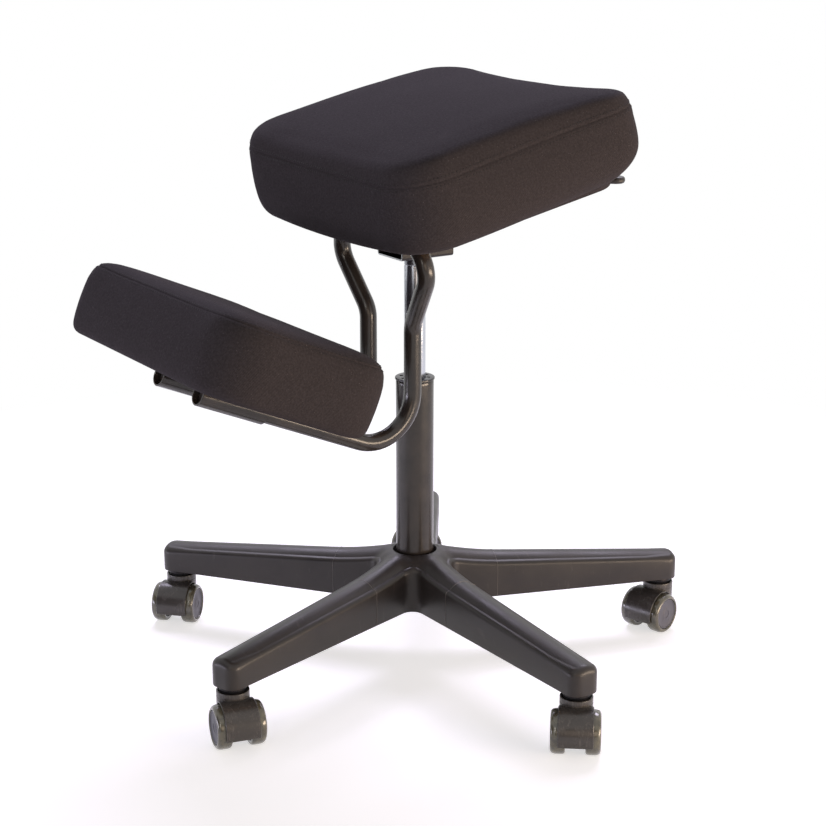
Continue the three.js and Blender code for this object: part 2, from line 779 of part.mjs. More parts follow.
function mechanismChannel() {
  const half = channelWidth / 2;
  const roofAt = (y) => seatPlaneHeight + y * Math.tan(seatTilt) - seatGap / Math.cos(seatTilt);
  const wallShape = new THREE.Shape();
  wallShape.moveTo(channelFront, channelFloorHeight);
  wallShape.lineTo(channelBack, channelFloorHeight);
  wallShape.lineTo(channelBack, roofAt(channelBack));
  wallShape.lineTo(channelFront, roofAt(channelFront));
  wallShape.closePath();
  const wall = (inner) => toSolid(slab(wallShape, inner, inner + channelWall)
    .applyMatrix4(new THREE.Matrix4().makeBasis(
      new THREE.Vector3(0, 1, 0),
      new THREE.Vector3(0, 0, 1),
      new THREE.Vector3(1, 0, 0),
    )));
  const length = channelBack - channelFront;
  const floor = block([channelWidth, length, channelWall],
    [0, (channelBack + channelFront) / 2, channelFloorHeight + channelWall / 2]);
  const socketHole = bar(tubeRadius + socketThickness + seatGap * 2, [0, 0, channelFloorHeight - overrun],
    [0, 0, channelFloorHeight + overrun], 20);
  const pinHole = bar(leverPinRadius + seatGap, [-channelWidth, leverPivotBack, leverHeight],
    [channelWidth, leverPivotBack, leverHeight], 12);
  const whole = join(wall(-half), wall(half - channelWall), toSolid(floor));
  return toGeometry(cut(whole, toSolid(socketHole), toSolid(pinHole)));
}

function coneSocket() {
  const outer = tubeRadius + socketThickness + seatGap;
  const top = tubeTop - seatGap;
  return turned([
    [tubeRadius + seatGap, channelFloorHeight],
    [outer, channelFloorHeight],
    [outer, top],
    [tubeRadius - coneDrop + seatGap, top],
    [tubeRadius + seatGap, channelFloorHeight],
  ], 20);
}

function seatPlate() {
  const middle = (plateFront + plateBack) / 2;
  const halfLength = (plateBack - plateFront) / 2;
  const shape = roundedRectangle(plateHalfWidth, halfLength, plateCorner);
  for (const x of [-1, 1]) {
    for (const y of [-1, 1]) {
      const hole = new THREE.Path();
      hole.absarc(x * (plateHalfWidth - plateScrewInset), y * (halfLength - plateScrewInset),
        plateScrewHole, 0, Math.PI * 2, true);
      shape.holes.push(hole);
    }
  }
  return slab(shape, 0, platePitchGap, 4).translate(0, middle, 0);
}

// A plywood board, and the room for it in the underside of its cushion.
function boardShape(width, depth, grow) {
  return roundedRectangle(width / 2 - boardInset + grow, depth / 2 - boardInset + grow, boardCorner + grow);
}

function board(width, depth) {
  const bottom = platePitchGap + seatGap;
  return slab(boardShape(width, depth, 0), bottom, bottom + boardThickness);
}

// Upholstered pad. The side profile goes up from the hem below the board to the rolled top edge, as
// [inset share, height share], then rings draw in to the crown. The hem's third number is how far
// that ring follows the fabric where it sags below the board or is pulled up at the rear.
const hemShares = [
  [0.95, 0, 0], [0.5, 0.02, 0.75], [0.2, 0.09, 1], [0.05, 0.2, 0.85], [0, 0.38, 0.4], [0, 0.58, 0.1],
  [0.02, 0.71, 0],
];
const rollShares = [[0.05, 0.79], [0.13, 0.87], [0.34, 0.95], [0.64, 0.99]];
const crownRingShares = [0.86, 0.56, 0.24];
const cornerDrawIn = 0.8;
const seamDepth = 1.8;
const seamHeightShare = 0.745;
const seamHalfWidthShare = 0.018;

function padOutline(halfX, halfY, corner, pullIn) {
  const points = [];
  const quadrants = [[1, 1, 0], [-1, 1, 1], [-1, -1, 2], [1, -1, 3]];
  const arcSteps = 5;
  const sideSteps = 4;
  const corners = quadrants.map(([signX, signY, quarter]) => {
    const arc = [];
    for (let i = 0; i <= arcSteps; i += 1) {
      const angle = (quarter + i / arcSteps) * Math.PI / 2;
      arc.push([
        signX * (halfX - corner) + corner * Math.cos(angle),
        signY * (halfY - corner) + corner * Math.sin(angle),
      ]);
    }
    return arc;
  });
  corners.forEach((arc, i) => {
    const next = corners[(i + 1) % corners.length][0];
    points.push(...arc);
    const [startX, startY] = arc[arcSteps];
    for (let k = 1; k < sideSteps; k += 1) {
      const share = k / sideSteps;
      const pull = pullIn * Math.sin(Math.PI * share);
      const x = THREE.MathUtils.lerp(startX, next[0], share);
      const y = THREE.MathUtils.lerp(startY, next[1], share);
      const alongX = Math.abs(next[0] - startX) > Math.abs(next[1] - startY);
      points.push(alongX ? [x, y - Math.sign(y) * pull] : [x - Math.sign(x) * pull, y]);
    }
  });
  return points;
}

function cushion(size) {
  const { width, depth, thickness, corner, hemRound, rollRound, pullIn } = size;
  const halfX = width / 2;
  const halfY = depth / 2;

  // How much higher than its corners the top is, over the whole pad. It is fullest along both
  // sides, and dips towards the middle of the rear edge.
  const swell = (x, y, height) => {
    const across = (x / halfX) ** 2;
    const along = (y / halfY) ** 2;
    const rear = Math.max(0, y / halfY) ** 2;
    const side = size.sideSwell * (1 - along) * across;
    const dome = size.crown * (1 - along) * (1 - across);
    const dip = size.rearDip * rear * (1 - across);
    const share = Math.max(0, height / thickness - seamHeightShare) / (1 - seamHeightShare);
    return (side + dome - dip) * Math.min(1, share);
  };
  const fall = (x, y) => {
    const across = (x / halfX) ** 2;
    const along = (y / halfY) ** 2;
    const front = (1 - y / halfY) / 2;
    const rear = (1 + y / halfY) / 2;
    const open = size.sagAtCorners ? Math.max(front, across * across) : front * (1 - across);
    return size.hemLift * rear + size.cornerLift * across * along - size.hemSag * open;
  };
  const ring = (inset, height, follow = 0) => padOutline(
    halfX - inset,
    halfY - inset,
    Math.max(corner - inset * cornerDrawIn, corner / 3),
    pullIn,
  ).map(([x, y]) => [x, y, height + swell(x, y, height) + fall(x, y) * follow]);
  const seam = thickness * seamHeightShare;
  const seamHalf = thickness * seamHalfWidthShare;
  const seamInset = hemRound * hemShares[hemShares.length - 1][0];
  const rings = hemShares.map(([inset, height, follow]) => (
    ring(inset * hemRound, height * thickness, follow)
  ));
  rings.push(ring(seamInset + seamDepth, seam));
  rings.push(ring(seamInset, seam + seamHalf));
  rings.push(...rollShares.map(([inset, height]) => ring(inset * rollRound, height * thickness)));
  const rim = ring(rollRound, thickness);
  for (const share of crownRingShares) {
    rings.push(rim.map(([x, y]) => (
      [x * share, y * share, thickness + swell(x * share, y * share, thickness)]
    )));
  }
  return loft(rings);
}

function upholsteredPad(name, size, group) {
  const { width, depth } = size;
  const boardTop = platePitchGap + seatGap + boardThickness;
  const room = slab(boardShape(width, depth, seatGap), -overrun, boardTop + seatGap);
  const foam = cut(toSolid(cushion(size)), toSolid(room));
  group.add(piece(`${name}_board`, board(width, depth), finish.plywood));
  group.add(piece(`${name}_cushion`, toGeometry(foam), finish.fabric));
  return group;
}

function lever() {
  const tip = new THREE.Vector3(0, -leverTipForward, leverHeight);
  const bend = new THREE.Vector3(0, leverBendBack, leverHeight);
  const grip = new THREE.Vector3(paddleSide, paddleBack, paddleHeight);
  const line = new BentLine([tip, bend, grip], [leverBendRadius], [5]);
  const rod = toSolid(bentBar(line, leverRodRadius, 8));
  const pinHole = (reach) => toSolid(bar(leverPinRadius + seatGap,
    [-reach, leverPivotBack, leverHeight], [reach, leverPivotBack, leverHeight], 12));
  const hub = toSolid(bar(leverHubRadius, [-leverHubHalfLength, leverPivotBack, leverHeight],
    [leverHubHalfLength, leverPivotBack, leverHeight], 16));
  const group = new THREE.Group();
  const rodWithHub = cut(join(rod, hub), pinHole(channelWidth));
  group.add(piece('lever_rod', toGeometry(rodWithHub), finish.steel));

  const reach = channelWidth / 2 + seatGap;
  const pinEnd = reach + leverPinHeadThickness;
  const shank = bar(leverPinRadius, [-pinEnd, leverPivotBack, leverHeight],
    [pinEnd, leverPivotBack, leverHeight], 12);
  const head = (side) => toSolid(bar(leverPinHead, [side * reach, leverPivotBack, leverHeight],
    [side * pinEnd, leverPivotBack, leverHeight], 12));
  group.add(piece('lever_pin', toGeometry(join(toSolid(shank), head(1), head(-1))), finish.steel));

  // The paddle is a flat rounded grip pushed over the rod's end, in line with the rod.
  const outline = roundedRectangle(paddleLength / 2, paddleHalfWidth, paddleHalfWidth * 0.95);
  const bevel = paddleThickness / 4;
  const blank = new THREE.ExtrudeGeometry(outline, {
    depth: paddleThickness - bevel * 2,
    bevelThickness: bevel,
    bevelSize: bevel,
    bevelOffset: -bevel,
    bevelSegments: 1,
    curveSegments: 4,
  }).translate(0, 0, bevel - paddleThickness / 2);
  const heading = Math.atan2(paddleBack - leverBendBack, paddleSide);
  const grown = toSolid(bentBar(line, leverRodRadius + leverRodGap, 8));
  const rodEnd = toSolid(bar(leverRodRadius + leverRodGap, [paddleSide, paddleBack, paddleHeight],
    [paddleSide + leverRodGap, paddleBack + leverRodGap, paddleHeight], 8));
  const spot = { move: [paddleSide, paddleBack, paddleHeight], turn: [0, 0, heading] };
  const paddle = cut(toSolid(place(blank, spot)), grown, rodEnd);
  group.add(piece('lever_paddle', toGeometry(paddle), finish.blackPlastic));
  return group;
}

const seatForm = {
  width: seatWidth,
  depth: seatDepth,
  thickness: seatThickness,
  corner: 66,
  hemRound: 42,
  rollRound: 42,
  crown: 13,
  sideSwell: 10,
  rearDip: 12,
  hemSag: 6,
  hemLift: 15,
  cornerLift: 8,
  sagAtCorners: false,
  pullIn: 0.5,
};
const kneeForm = {
  width: kneePadWidth,
  depth: kneePadDepth,
  thickness: kneePadThickness,
  corner: 62,
  hemRound: 26,
  rollRound: 30,
  crown: 7,
  sideSwell: 2,
  rearDip: 3,
  hemSag: 6,
  hemLift: 0,
  cornerLift: 0,
  sagAtCorners: true,
  pullIn: 0.5,
};

function seat() {
  const group = new THREE.Group();
  group.position.set(0, 0, seatPlaneHeight);
  group.rotation.x = seatTilt;
  group.add(piece('seat_plate', seatPlate(), finish.powderCoat));
  const pad = new THREE.Group();
  pad.position.y = seatSetBack;
  group.add(upholsteredPad('seat', seatForm, pad));
  return group;
}

// Knee pad on two sleeves that slide along the frame tube's knee runs
const sleeveWall = 2.4;
const sleevePlay = 0.35;
const kneePlateHalfWidth = 78;
const kneePlateHalfLength = 44;
const kneePlateCorner = 10;
const clampScrewRadius = 3;
const clampScrewHead = 6.5;
const clampScrewHeadThickness = 5;
const clampScrewBack = 30;

const tubeOuter = frameTubeDiameter / 2;
const sleeveBore = tubeOuter + sleevePlay;
const sleeveOuter = sleeveBore + sleeveWall;
const kneePadBottom = sleeveOuter + seatGap;

function sleeve(side) {
  const middle = side * frameHalfSpacing;
  const tube = turned([
    [sleeveBore, 0],
    [sleeveOuter, 0],
    [sleeveOuter, sleeveLength],
    [sleeveBore, sleeveLength],
    [sleeveBore, 0],
  ], 20);
  const lying = { move: [middle, sleeveLength - sleeveFrontReach, 0], turn: [Math.PI / 2, 0, 0] };
  return place(tube, lying);
}

function kneePad() {
  const group = new THREE.Group();
  group.position.copy(padCentre);
  group.rotation.x = -kneeTilt;
  const screwHole = toSolid(bar(clampScrewRadius + seatGap, [0, clampScrewBack, 0],
    [frameHalfSpacing, clampScrewBack, 0], 10));
  const left = cut(toSolid(sleeve(1)), screwHole);
  group.add(piece('knee_sleeve_left', toGeometry(left), finish.powderCoat));
  group.add(piece('knee_sleeve_right', sleeve(-1), finish.powderCoat));

  // The clamp screw bears on the left knee run through its sleeve, from the hidden inner side.
  const screwTip = frameHalfSpacing - tubeOuter - seatGap;
  const headAt = frameHalfSpacing - sleeveOuter - seatGap;
  const shank = bar(clampScrewRadius, [headAt - seatGap, clampScrewBack, 0], [screwTip, clampScrewBack, 0], 10);
  const head = bar(clampScrewHead, [headAt - clampScrewHeadThickness, clampScrewBack, 0],
    [headAt, clampScrewBack, 0], 6);
  const screw = join(toSolid(shank), toSolid(head));
  group.add(piece('clamp_screw', toGeometry(screw), finish.steel));

  const plate = slab(roundedRectangle(kneePlateHalfWidth, kneePlateHalfLength, kneePlateCorner),
    kneePadBottom, kneePadBottom + platePitchGap, 4);
  group.add(piece('knee_plate', plate, finish.powderCoat));
  const pad = new THREE.Group();
  pad.position.z = kneePadBottom;
  group.add(upholsteredPad('knee', kneeForm, pad));
  return group;
}

function tubePlugs() {
  const group = new THREE.Group();
  const start = kneeRunStart.clone().addScaledVector(kneeDirection, kneeRunLength + seatGap);
  const end = start.clone().addScaledVector(kneeDirection, plugThickness);
  for (const [sign, name] of [[1, 'tube_plug_left'], [-1, 'tube_plug_right']]) {
    const x = sign * frameHalfSpacing;
    const plug = bar(tubeOuter, [x, start.y, start.z], [x, end.y, end.z], tubeSides);
    group.add(piece(name, plug, finish.blackPlastic));
  }
  return group;
}

// Assembly
const chair = new THREE.Group();
const base = new THREE.Group();
base.rotation.z = firstLegAngle;
base.add(piece('star_base', starBase(), finish.nylon));
chair.add(base);
for (let i = 0; i < legCount; i += 1) {
  const angle = firstLegAngle + Math.PI * 2 / legCount * i;
  const heading = THREE.MathUtils.degToRad(castorHeadings[i % castorHeadings.length] + headingFromCamera);
  const unit = castor(i + 1, heading);
  unit.position.set(stemCircleRadius * Math.cos(angle), stemCircleRadius * Math.sin(angle), 0);
  chair.add(unit);
}
chair.add(gasLift());
chair.add(piece('frame_tube', frameTube(), finish.powderCoat));
chair.add(tubePlugs());
chair.add(piece('mechanism_channel', mechanismChannel(), finish.powderCoat));
chair.add(piece('cone_socket', coneSocket(), finish.steel));
chair.add(lever());
chair.add(seat());
chair.add(kneePad());

// The chair's origin is the middle of its bounding box, on the floor.
const bounds = new THREE.Box3().setFromObject(chair, true);
const middle = bounds.getCenter(new THREE.Vector3());
chair.position.set(-middle.x, -middle.y, -bounds.min.z);
const group = new THREE.Group();
group.add(chair);

export default group;
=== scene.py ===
import math

import bmesh
import bpy
import numpy as np
from mathutils import Matrix, Vector, noise
from mathutils.kdtree import KDTree


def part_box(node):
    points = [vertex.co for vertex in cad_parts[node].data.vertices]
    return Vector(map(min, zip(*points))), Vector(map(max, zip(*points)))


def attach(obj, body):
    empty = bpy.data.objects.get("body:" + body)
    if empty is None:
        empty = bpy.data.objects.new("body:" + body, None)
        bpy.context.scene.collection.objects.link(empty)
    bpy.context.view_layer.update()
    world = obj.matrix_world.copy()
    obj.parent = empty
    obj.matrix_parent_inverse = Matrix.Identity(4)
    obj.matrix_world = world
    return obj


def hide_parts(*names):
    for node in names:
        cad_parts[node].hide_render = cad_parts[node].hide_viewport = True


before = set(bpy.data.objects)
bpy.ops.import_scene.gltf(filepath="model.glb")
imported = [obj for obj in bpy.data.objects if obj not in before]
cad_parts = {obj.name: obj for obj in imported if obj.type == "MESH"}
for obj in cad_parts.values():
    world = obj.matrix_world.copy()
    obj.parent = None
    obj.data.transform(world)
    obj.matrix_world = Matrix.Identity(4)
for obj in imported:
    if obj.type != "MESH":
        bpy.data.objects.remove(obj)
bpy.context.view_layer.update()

# Camera
# A long lens a little above the seat, at the sitter's front left, with the chair in a square frame.
column_low, column_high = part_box("column_tube")
swivel_axis = (column_low + column_high) / 2
swivel_axis.z = 0
camera_azimuth = math.radians(57.3)
camera_pitch = math.radians(15.8)
camera_turn = 0.001
camera_reach = 2.3792
camera_height = 1.0094
camera = bpy.data.objects.new("studio_camera", bpy.data.cameras.new("studio_camera"))
camera.data.lens = 81.6
camera.data.sensor_width = 36
camera.data.clip_end = 60
camera.location = swivel_axis + Vector((
    camera_reach * math.sin(camera_azimuth),
    -camera_reach * math.cos(camera_azimuth),
    camera_height,
))
camera.rotation_euler = (math.pi / 2 - camera_pitch, 0, camera_azimuth + camera_turn)
bpy.context.scene.collection.objects.link(camera)
bpy.context.scene.camera = camera
bpy.context.scene.view_settings.view_transform = "Standard"

# Studio
# White walls and a white floor that keeps pale shadows. Two overhead softboxes behind the chair
# cast them, low ones light its sides, a narrow one streaks the tubes, and flags shape the gloss.


def linear(code):
    """An sRGB hex colour as linear red, green, blue and alpha."""
    channels = [int(code[at:at + 2], 16) / 255 for at in (1, 3, 5)]
    curve = [c / 12.92 if c <= 0.04045 else ((c + 0.055) / 1.055) ** 2.4 for c in channels]
    return (*curve, 1.0)


def add(tree, kind, inputs=None, output=None, **settings):
    """Adds a node, sets it up, fills or links its inputs, and gives the output that is asked for,
    or else the first one in use."""
    made = tree.nodes.new(kind)
    for name, value in settings.items():
        setattr(made, name, value)
    for name, value in (inputs or {}).items():
        if isinstance(value, bpy.types.NodeSocket):
            tree.links.new(value, made.inputs[name])
        else:
            made.inputs[name].default_value = value
    if output:
        return made.outputs[output]
    return next((socket for socket in made.outputs if socket.enabled), None)


def seen_directly(tree):
    """1 where a ray comes from the lens, a mirror or glass, and 0 where it only carries light."""
    path = add(tree, "ShaderNodeLightPath").node.outputs
    seen = path["Is Camera Ray"]
    for ray in ("Is Glossy Ray", "Is Transmission Ray"):
        seen = add(tree, "ShaderNodeMath", {0: seen, 1: path[ray]}, operation="MAXIMUM")
    return seen


def flat_card(name, width, height, finish):
    """A flat rectangle round its own origin, for the floor and the flags."""
    mesh = bpy.data.meshes.new(name)
    right, back = width / 2, height / 2
    mesh.from_pydata(
        [(-right, -back, 0), (right, -back, 0), (right, back, 0), (-right, back, 0)], [], [(0, 1, 2, 3)])
    mesh.materials.append(finish)
    return bpy.data.objects.new(name, mesh)


white = (1, 1, 1, 1)
wall_light = 0.22
studio = bpy.data.worlds.new("white_studio")
studio.use_nodes = True
tree = studio.node_tree
tree.nodes.clear()
wall_glow = add(tree, "ShaderNodeBackground", {"Color": linear("#f4f2fb"), "Strength": wall_light})
wall_seen = add(tree, "ShaderNodeBackground", {"Color": white, "Strength": 1.0})
walls = add(tree, "ShaderNodeMixShader", {0: seen_directly(tree), 1: wall_glow, 2: wall_seen})
add(tree, "ShaderNodeOutputWorld", {"Surface": walls})
bpy.context.scene.world = studio

# The floor takes the chair's shadow near it and fades to the walls' white farther out.
floor_size = 60.0
shadow_lift = 0.58
white_from, white_beyond = 0.55, 1.5
floor_paint = bpy.data.materials.new("white_floor_paint")
floor_paint.use_nodes = True
tree = floor_paint.node_tree
tree.nodes.clear()
floor_matt = add(tree, "ShaderNodeBsdfDiffuse", {"Color": linear("#f4f3f6")})
shadow_white = add(tree, "ShaderNodeEmission", {"Color": white, "Strength": shadow_lift})
floor_near = add(tree, "ShaderNodeAddShader", {0: floor_matt, 1: shadow_white})
floor_white = add(tree, "ShaderNodeEmission", {"Color": white, "Strength": 1.0})
floor_place = add(tree, "ShaderNodeTexCoord", output="Object")
floor_reach = add(tree, "ShaderNodeVectorMath", {0: floor_place}, operation="LENGTH")
floor_share = add(tree, "ShaderNodeMapRange", {
    "Value": floor_reach, "From Min": white_from, "From Max": white_beyond})
floor_seen = add(tree, "ShaderNodeMixShader", {0: floor_share, 1: floor_near, 2: floor_white})
floor_mix = add(tree, "ShaderNodeMixShader", {0: seen_directly(tree), 1: floor_matt, 2: floor_seen})
add(tree, "ShaderNodeOutputMaterial", {"Surface": floor_mix})
floor = flat_card("studio_floor", floor_size, floor_size, floor_paint)
bpy.context.scene.collection.objects.link(floor)


def aim(studio_object, place, target):
    """Puts a lamp or flag at a place given as right of, away from and above the chair, in metres,
    as the camera sees it, facing a target height on the swivel axis."""
    right = Vector((math.cos(camera_azimuth), math.sin(camera_azimuth), 0))
    away = Vector((-math.sin(camera_azimuth), math.cos(camera_azimuth), 0))
    studio_object.location = swivel_axis + right * place[0] + away * place[1] + Vector((0, 0, place[2]))
    facing = swivel_axis + Vector((0, 0, target)) - studio_object.location
    studio_object.rotation_euler = facing.to_track_quat("-Z", "Y").to_euler()
    bpy.context.scene.collection.objects.link(studio_object)


softboxes = [
    ("overhead_left", (-0.6, 1.6, 2.5), 0.3, (1.2, 0.9), 38, "#ece4ff"),
    ("overhead_right", (0.9, 1.6, 2.5), 0.3, (1.2, 0.9), 28, "#f0e8ff"),
    ("low_right", (2.15, -1.1, 0.25), 0.55, (1.8, 0.5), 47, "#ffe4c8"),
    ("low_left", (-2.2, -0.6, 0.1), 0.75, (1.6, 0.3), 18, "#efeaff"),
    ("fill_near_lens", (0.5, -2.9, 0.8), 0.35, (1.3, 1.0), 9, "#ffe8d2"),
    ("narrow_near_lens", (-0.75, -2.6, 1.35), 0.45, (0.22, 1.1), 6, "#fff6ea"),
]
for name, place, target, (width, height), power, tint in softboxes:
    lamp = bpy.data.lights.new(name, "AREA")
    lamp.shape = "RECTANGLE"
    lamp.size = width
    lamp.size_y = height
    lamp.energy = power
    lamp.color = linear(tint)[:3]
    aim(bpy.data.objects.new(name, lamp), place, target)

flag_cloth = bpy.data.materials.new("black_flag_cloth")
flag_cloth.use_nodes = True
flag_shader = flag_cloth.node_tree.nodes["Principled BSDF"]
flag_shader.inputs["Base Color"].default_value = linear("#1c1b1d")
flag_shader.inputs["Roughness"].default_value = 0.9
flag_target = 0.5
for name, place, (width, height) in (
        ("flag_lens", (0.3, -3.6, 1.0), (2.6, 2.4)), ("flag_left", (-2.6, -1.6, 0.9), (3.2, 2.6))):
    flag = flat_card(name, width, height, flag_cloth)
    aim(flag, place, flag_target)
    flag.visible_camera = False
    flag.visible_diffuse = False
    flag.visible_shadow = False

# Star base
# One injection-moulded star of glass-filled nylon, hollow and ribbed below. Each leg is a shallow
# arched beam with a rolled edge, and the mould's inserts leave a fine witness line round it.
leg_count = 5
first_leg = math.radians(0.7)
half_turn = math.pi / leg_count
leg_root, leg_end = 40.0, 376.0
root_half_width, tip_half_width = 25.5, 21.0
root_edge_height, tip_edge_height = 131.0, 105.0
root_bottom, tip_bottom = 76.0, 73.0
root_crown, tip_crown = 9.0, 4.2
flare_reach, flare_rise = 120.0, 6.5
hub_rim_radius, hub_rim_height = 32.5, 146.6
crotch_radius = 54.0
tip_corner = 14.0
edge_round, tip_edge_round = 6.5, 10.0
leg_wall = 4.0
pocket_end = 339.5
pocket_ceiling = 124.0
hub_slope, hub_hollow = 0.28, 0.02
leg_blend = 5.0
near_rows_end, far_rows_start = 104.0, 109.0
fillet_fade = 30.0
tip_rounding_start, tip_rounding_reach = 330.0, 30.0
edge_crowding = 0.8
bow_reach = 60.0
roof_start_radius, roof_gap = 31.0, 0.5
lip_round, lip_chamfer = 0.9, 0.25
socket_profile = [
    (31.7, 147.0), (30.9, 147.3), (30.0, 147.2), (29.3, 146.5), (29.0, 145.4), (29.0, 136.4), (28.0, 135.2),
    (25.8, 135.0), (25.3, 134.4), (24.0, 84.0), (24.0, 76.5), (24.5, 76.0), (29.8, 76.0), (30.3, 76.6),
    (30.4, 123.4)]
far_below = -1e3


def leg_half_width(x):
    return root_half_width + (tip_half_width - root_half_width) * (x - leg_root) / (leg_end - leg_root)


def leg_bottom(x):
    return root_bottom + (tip_bottom - root_bottom) * (x - leg_root) / (leg_end - leg_root)


def leg_surface(x, y):
    """Height of one leg's top above the floor, in the leg's own frame."""
    held = np.maximum(x, leg_root)
    along = (held - leg_root) / (leg_end - leg_root)
    flare = np.maximum(0, (flare_reach - held) / (flare_reach - leg_root))
    edge = root_edge_height + (tip_edge_height - root_edge_height) * along + flare_rise * flare ** 2
    crown = root_crown + (tip_crown - root_crown) * along
    height = edge + crown * (1 - (y / (leg_half_width(held) - edge_round)) ** 2)
    return np.where(x > 0, height, far_below)


def base_height(x, y):
    """Height of the base's top: the hub's cone and the legs, flowing into each other."""
    beyond_rim = np.hypot(x, y) - hub_rim_radius
    height = hub_rim_height - hub_slope * beyond_rim - hub_hollow * beyond_rim ** 2
    for turn in (0, 2 * half_turn, -2 * half_turn):
        along = x * math.cos(turn) + y * math.sin(turn)
        across = y * math.cos(turn) - x * math.sin(turn)
        leg = leg_surface(along, across)
        near = np.maximum(leg_blend - np.abs(height - leg), 0) / leg_blend
        height = np.maximum(height, leg) + near ** 2 * leg_blend / 4
    return height


def pocket_roof(x, y):
    """Height of the ceiling inside a leg, one wall below its top."""
    return np.minimum(base_height(x, y) - leg_wall - roof_gap, pocket_ceiling)


def base_outline():
    """Half of a leg's outline, from the crotch to the tip: points with their inward normals."""
    side = root_half_width
    fillet = (crotch_radius * math.sin(half_turn) - side) / (1 - math.sin(half_turn))
    centre_x = (crotch_radius + fillet) * math.cos(half_turn)
    centre_y = (crotch_radius + fillet) * math.sin(half_turn)
    found = []
    for angle in np.radians(np.linspace(180 + 180 / leg_count, 270, 10)):
        found.append((centre_x + fillet * math.cos(angle), centre_y + fillet * math.sin(angle),
                      math.cos(angle), math.sin(angle)))
    corner_start = leg_end - tip_corner
    near_rows = np.linspace(centre_x, near_rows_end, 8)[1:]
    far_rows = np.linspace(far_rows_start, corner_start, 24)
    for x in np.concatenate([near_rows, far_rows]):
        ease = max(0.0, 1 - (x - centre_x) / fillet_fade)
        found.append((x, leg_half_width(x) + (side - leg_half_width(centre_x)) * ease, 0.0, -1.0))
    flat = leg_half_width(corner_start) - tip_corner
    for angle in np.radians(np.linspace(0, 90, 9))[1:]:
        found.append((corner_start + tip_corner * math.sin(angle), flat + tip_corner * math.cos(angle),
                      -math.sin(angle), -math.cos(angle)))
    return np.array(found)


base_steps = base_outline()
outline_x = base_steps[:, 0]
tip_share = np.clip((outline_x - tip_rounding_start) / tip_rounding_reach, 0, 1)
rounding = edge_round + (tip_edge_round - edge_round) * tip_share
outline_length = np.concatenate([[0], np.cumsum(np.hypot(*np.diff(base_steps[:, :2], axis=0).T))])
column_turns = np.linspace(-1, 1, 19) * math.pi / 2 * edge_crowding
column_shares = np.sin(column_turns) / math.sin(math.pi / 2 * edge_crowding)


def inset_outline(inset):
    return base_steps[:, :2] + base_steps[:, 2:4] * np.asarray(inset).reshape(-1, 1)


def rows_across(points, start_radius):
    """Rows of plan points over one leg's sector: arcs round the hub that flatten into the leg."""
    crotch = math.hypot(*points[0])
    hub_rows = [(radius * math.cos(half_turn), radius * math.sin(half_turn), radius)
                for radius in np.linspace(start_radius, crotch, 8)[:-1]]
    bow = (crotch - points[0][0]) * np.maximum(0, 1 - outline_length / bow_reach) ** 2
    outer_rows = [(x, y, x + lift) for (x, y), lift in zip(points, bow)]
    made = []
    for x, y, spine in hub_rows + outer_rows:
        turn = half_turn * column_shares
        across = y * np.sin(turn) / math.sin(half_turn)
        along = spine + (x - spine) * (1 - np.cos(turn)) / (1 - math.cos(half_turn))
        made.append(np.stack([along, across], 1))
    return np.array(made)


def grid_faces(rows, columns, start=0, closed=False):
    """Quads over points stored row by row. A closed grid joins each row's end to its start."""
    span = columns if closed else columns - 1
    faces = []
    for row in range(rows - 1):
        low = start + row * columns
        for column in range(span):
            after = (column + 1) % columns
            faces.append((low + column, low + after, low + columns + after, low + columns + column))
    return faces


def lofted(rings, capped=False):
    """One sheet through closed rings of equally many points, with a flat face over each end if
    it is capped."""
    rows, count = len(rings), len(rings[0])
    faces = grid_faces(rows, count, closed=True)
    if capped:
        faces += [tuple(range(count))[::-1], tuple(range((rows - 1) * count, rows * count))]
    return np.array(rings).reshape(-1, 3), faces


def on_each_leg(sheets):
    """Sheets drawn along one leg, repeated round the hub for all of them."""
    made = []
    for leg in range(leg_count):
        angle = first_leg + 2 * half_turn * leg
        spin = np.array([
            [math.cos(angle), math.sin(angle), 0], [-math.sin(angle), math.cos(angle), 0], [0, 0, 1]])
        made += [(points.reshape(-1, 3) @ spin, faces) for points, faces in sheets]
    return made


def make_piece(name, sheets, crease=35, weld=0.004, turn=None):
    """One closed mesh from a list of (points, faces), in millimetres, welded where they meet."""
    points, faces = [], []
    for sheet_points, sheet_faces in sheets:
        offset = len(points)
        points.extend(np.asarray(sheet_points, float).reshape(-1, 3).tolist())
        faces.extend(tuple(offset + corner for corner in face) for face in sheet_faces)
    mesh = bpy.data.meshes.new(name)
    mesh.from_pydata(points, [], faces)
    work = bmesh.new()
    work.from_mesh(mesh)
    bmesh.ops.remove_doubles(work, verts=work.verts, dist=weld)
    bmesh.ops.dissolve_degenerate(work, edges=work.edges, dist=weld)
    bmesh.ops.recalc_face_normals(work, faces=work.faces)
    work.to_mesh(mesh)
    work.free()
    if turn is not None:
        mesh.transform(turn)
    mesh.transform(Matrix.Translation(swivel_axis) @ Matrix.Scale(0.001, 4))
    mesh.shade_smooth()
    mesh.set_sharp_from_angle(angle=math.radians(crease))
    made = bpy.data.objects.new(name, mesh)
    bpy.context.scene.collection.objects.link(made)
    return made


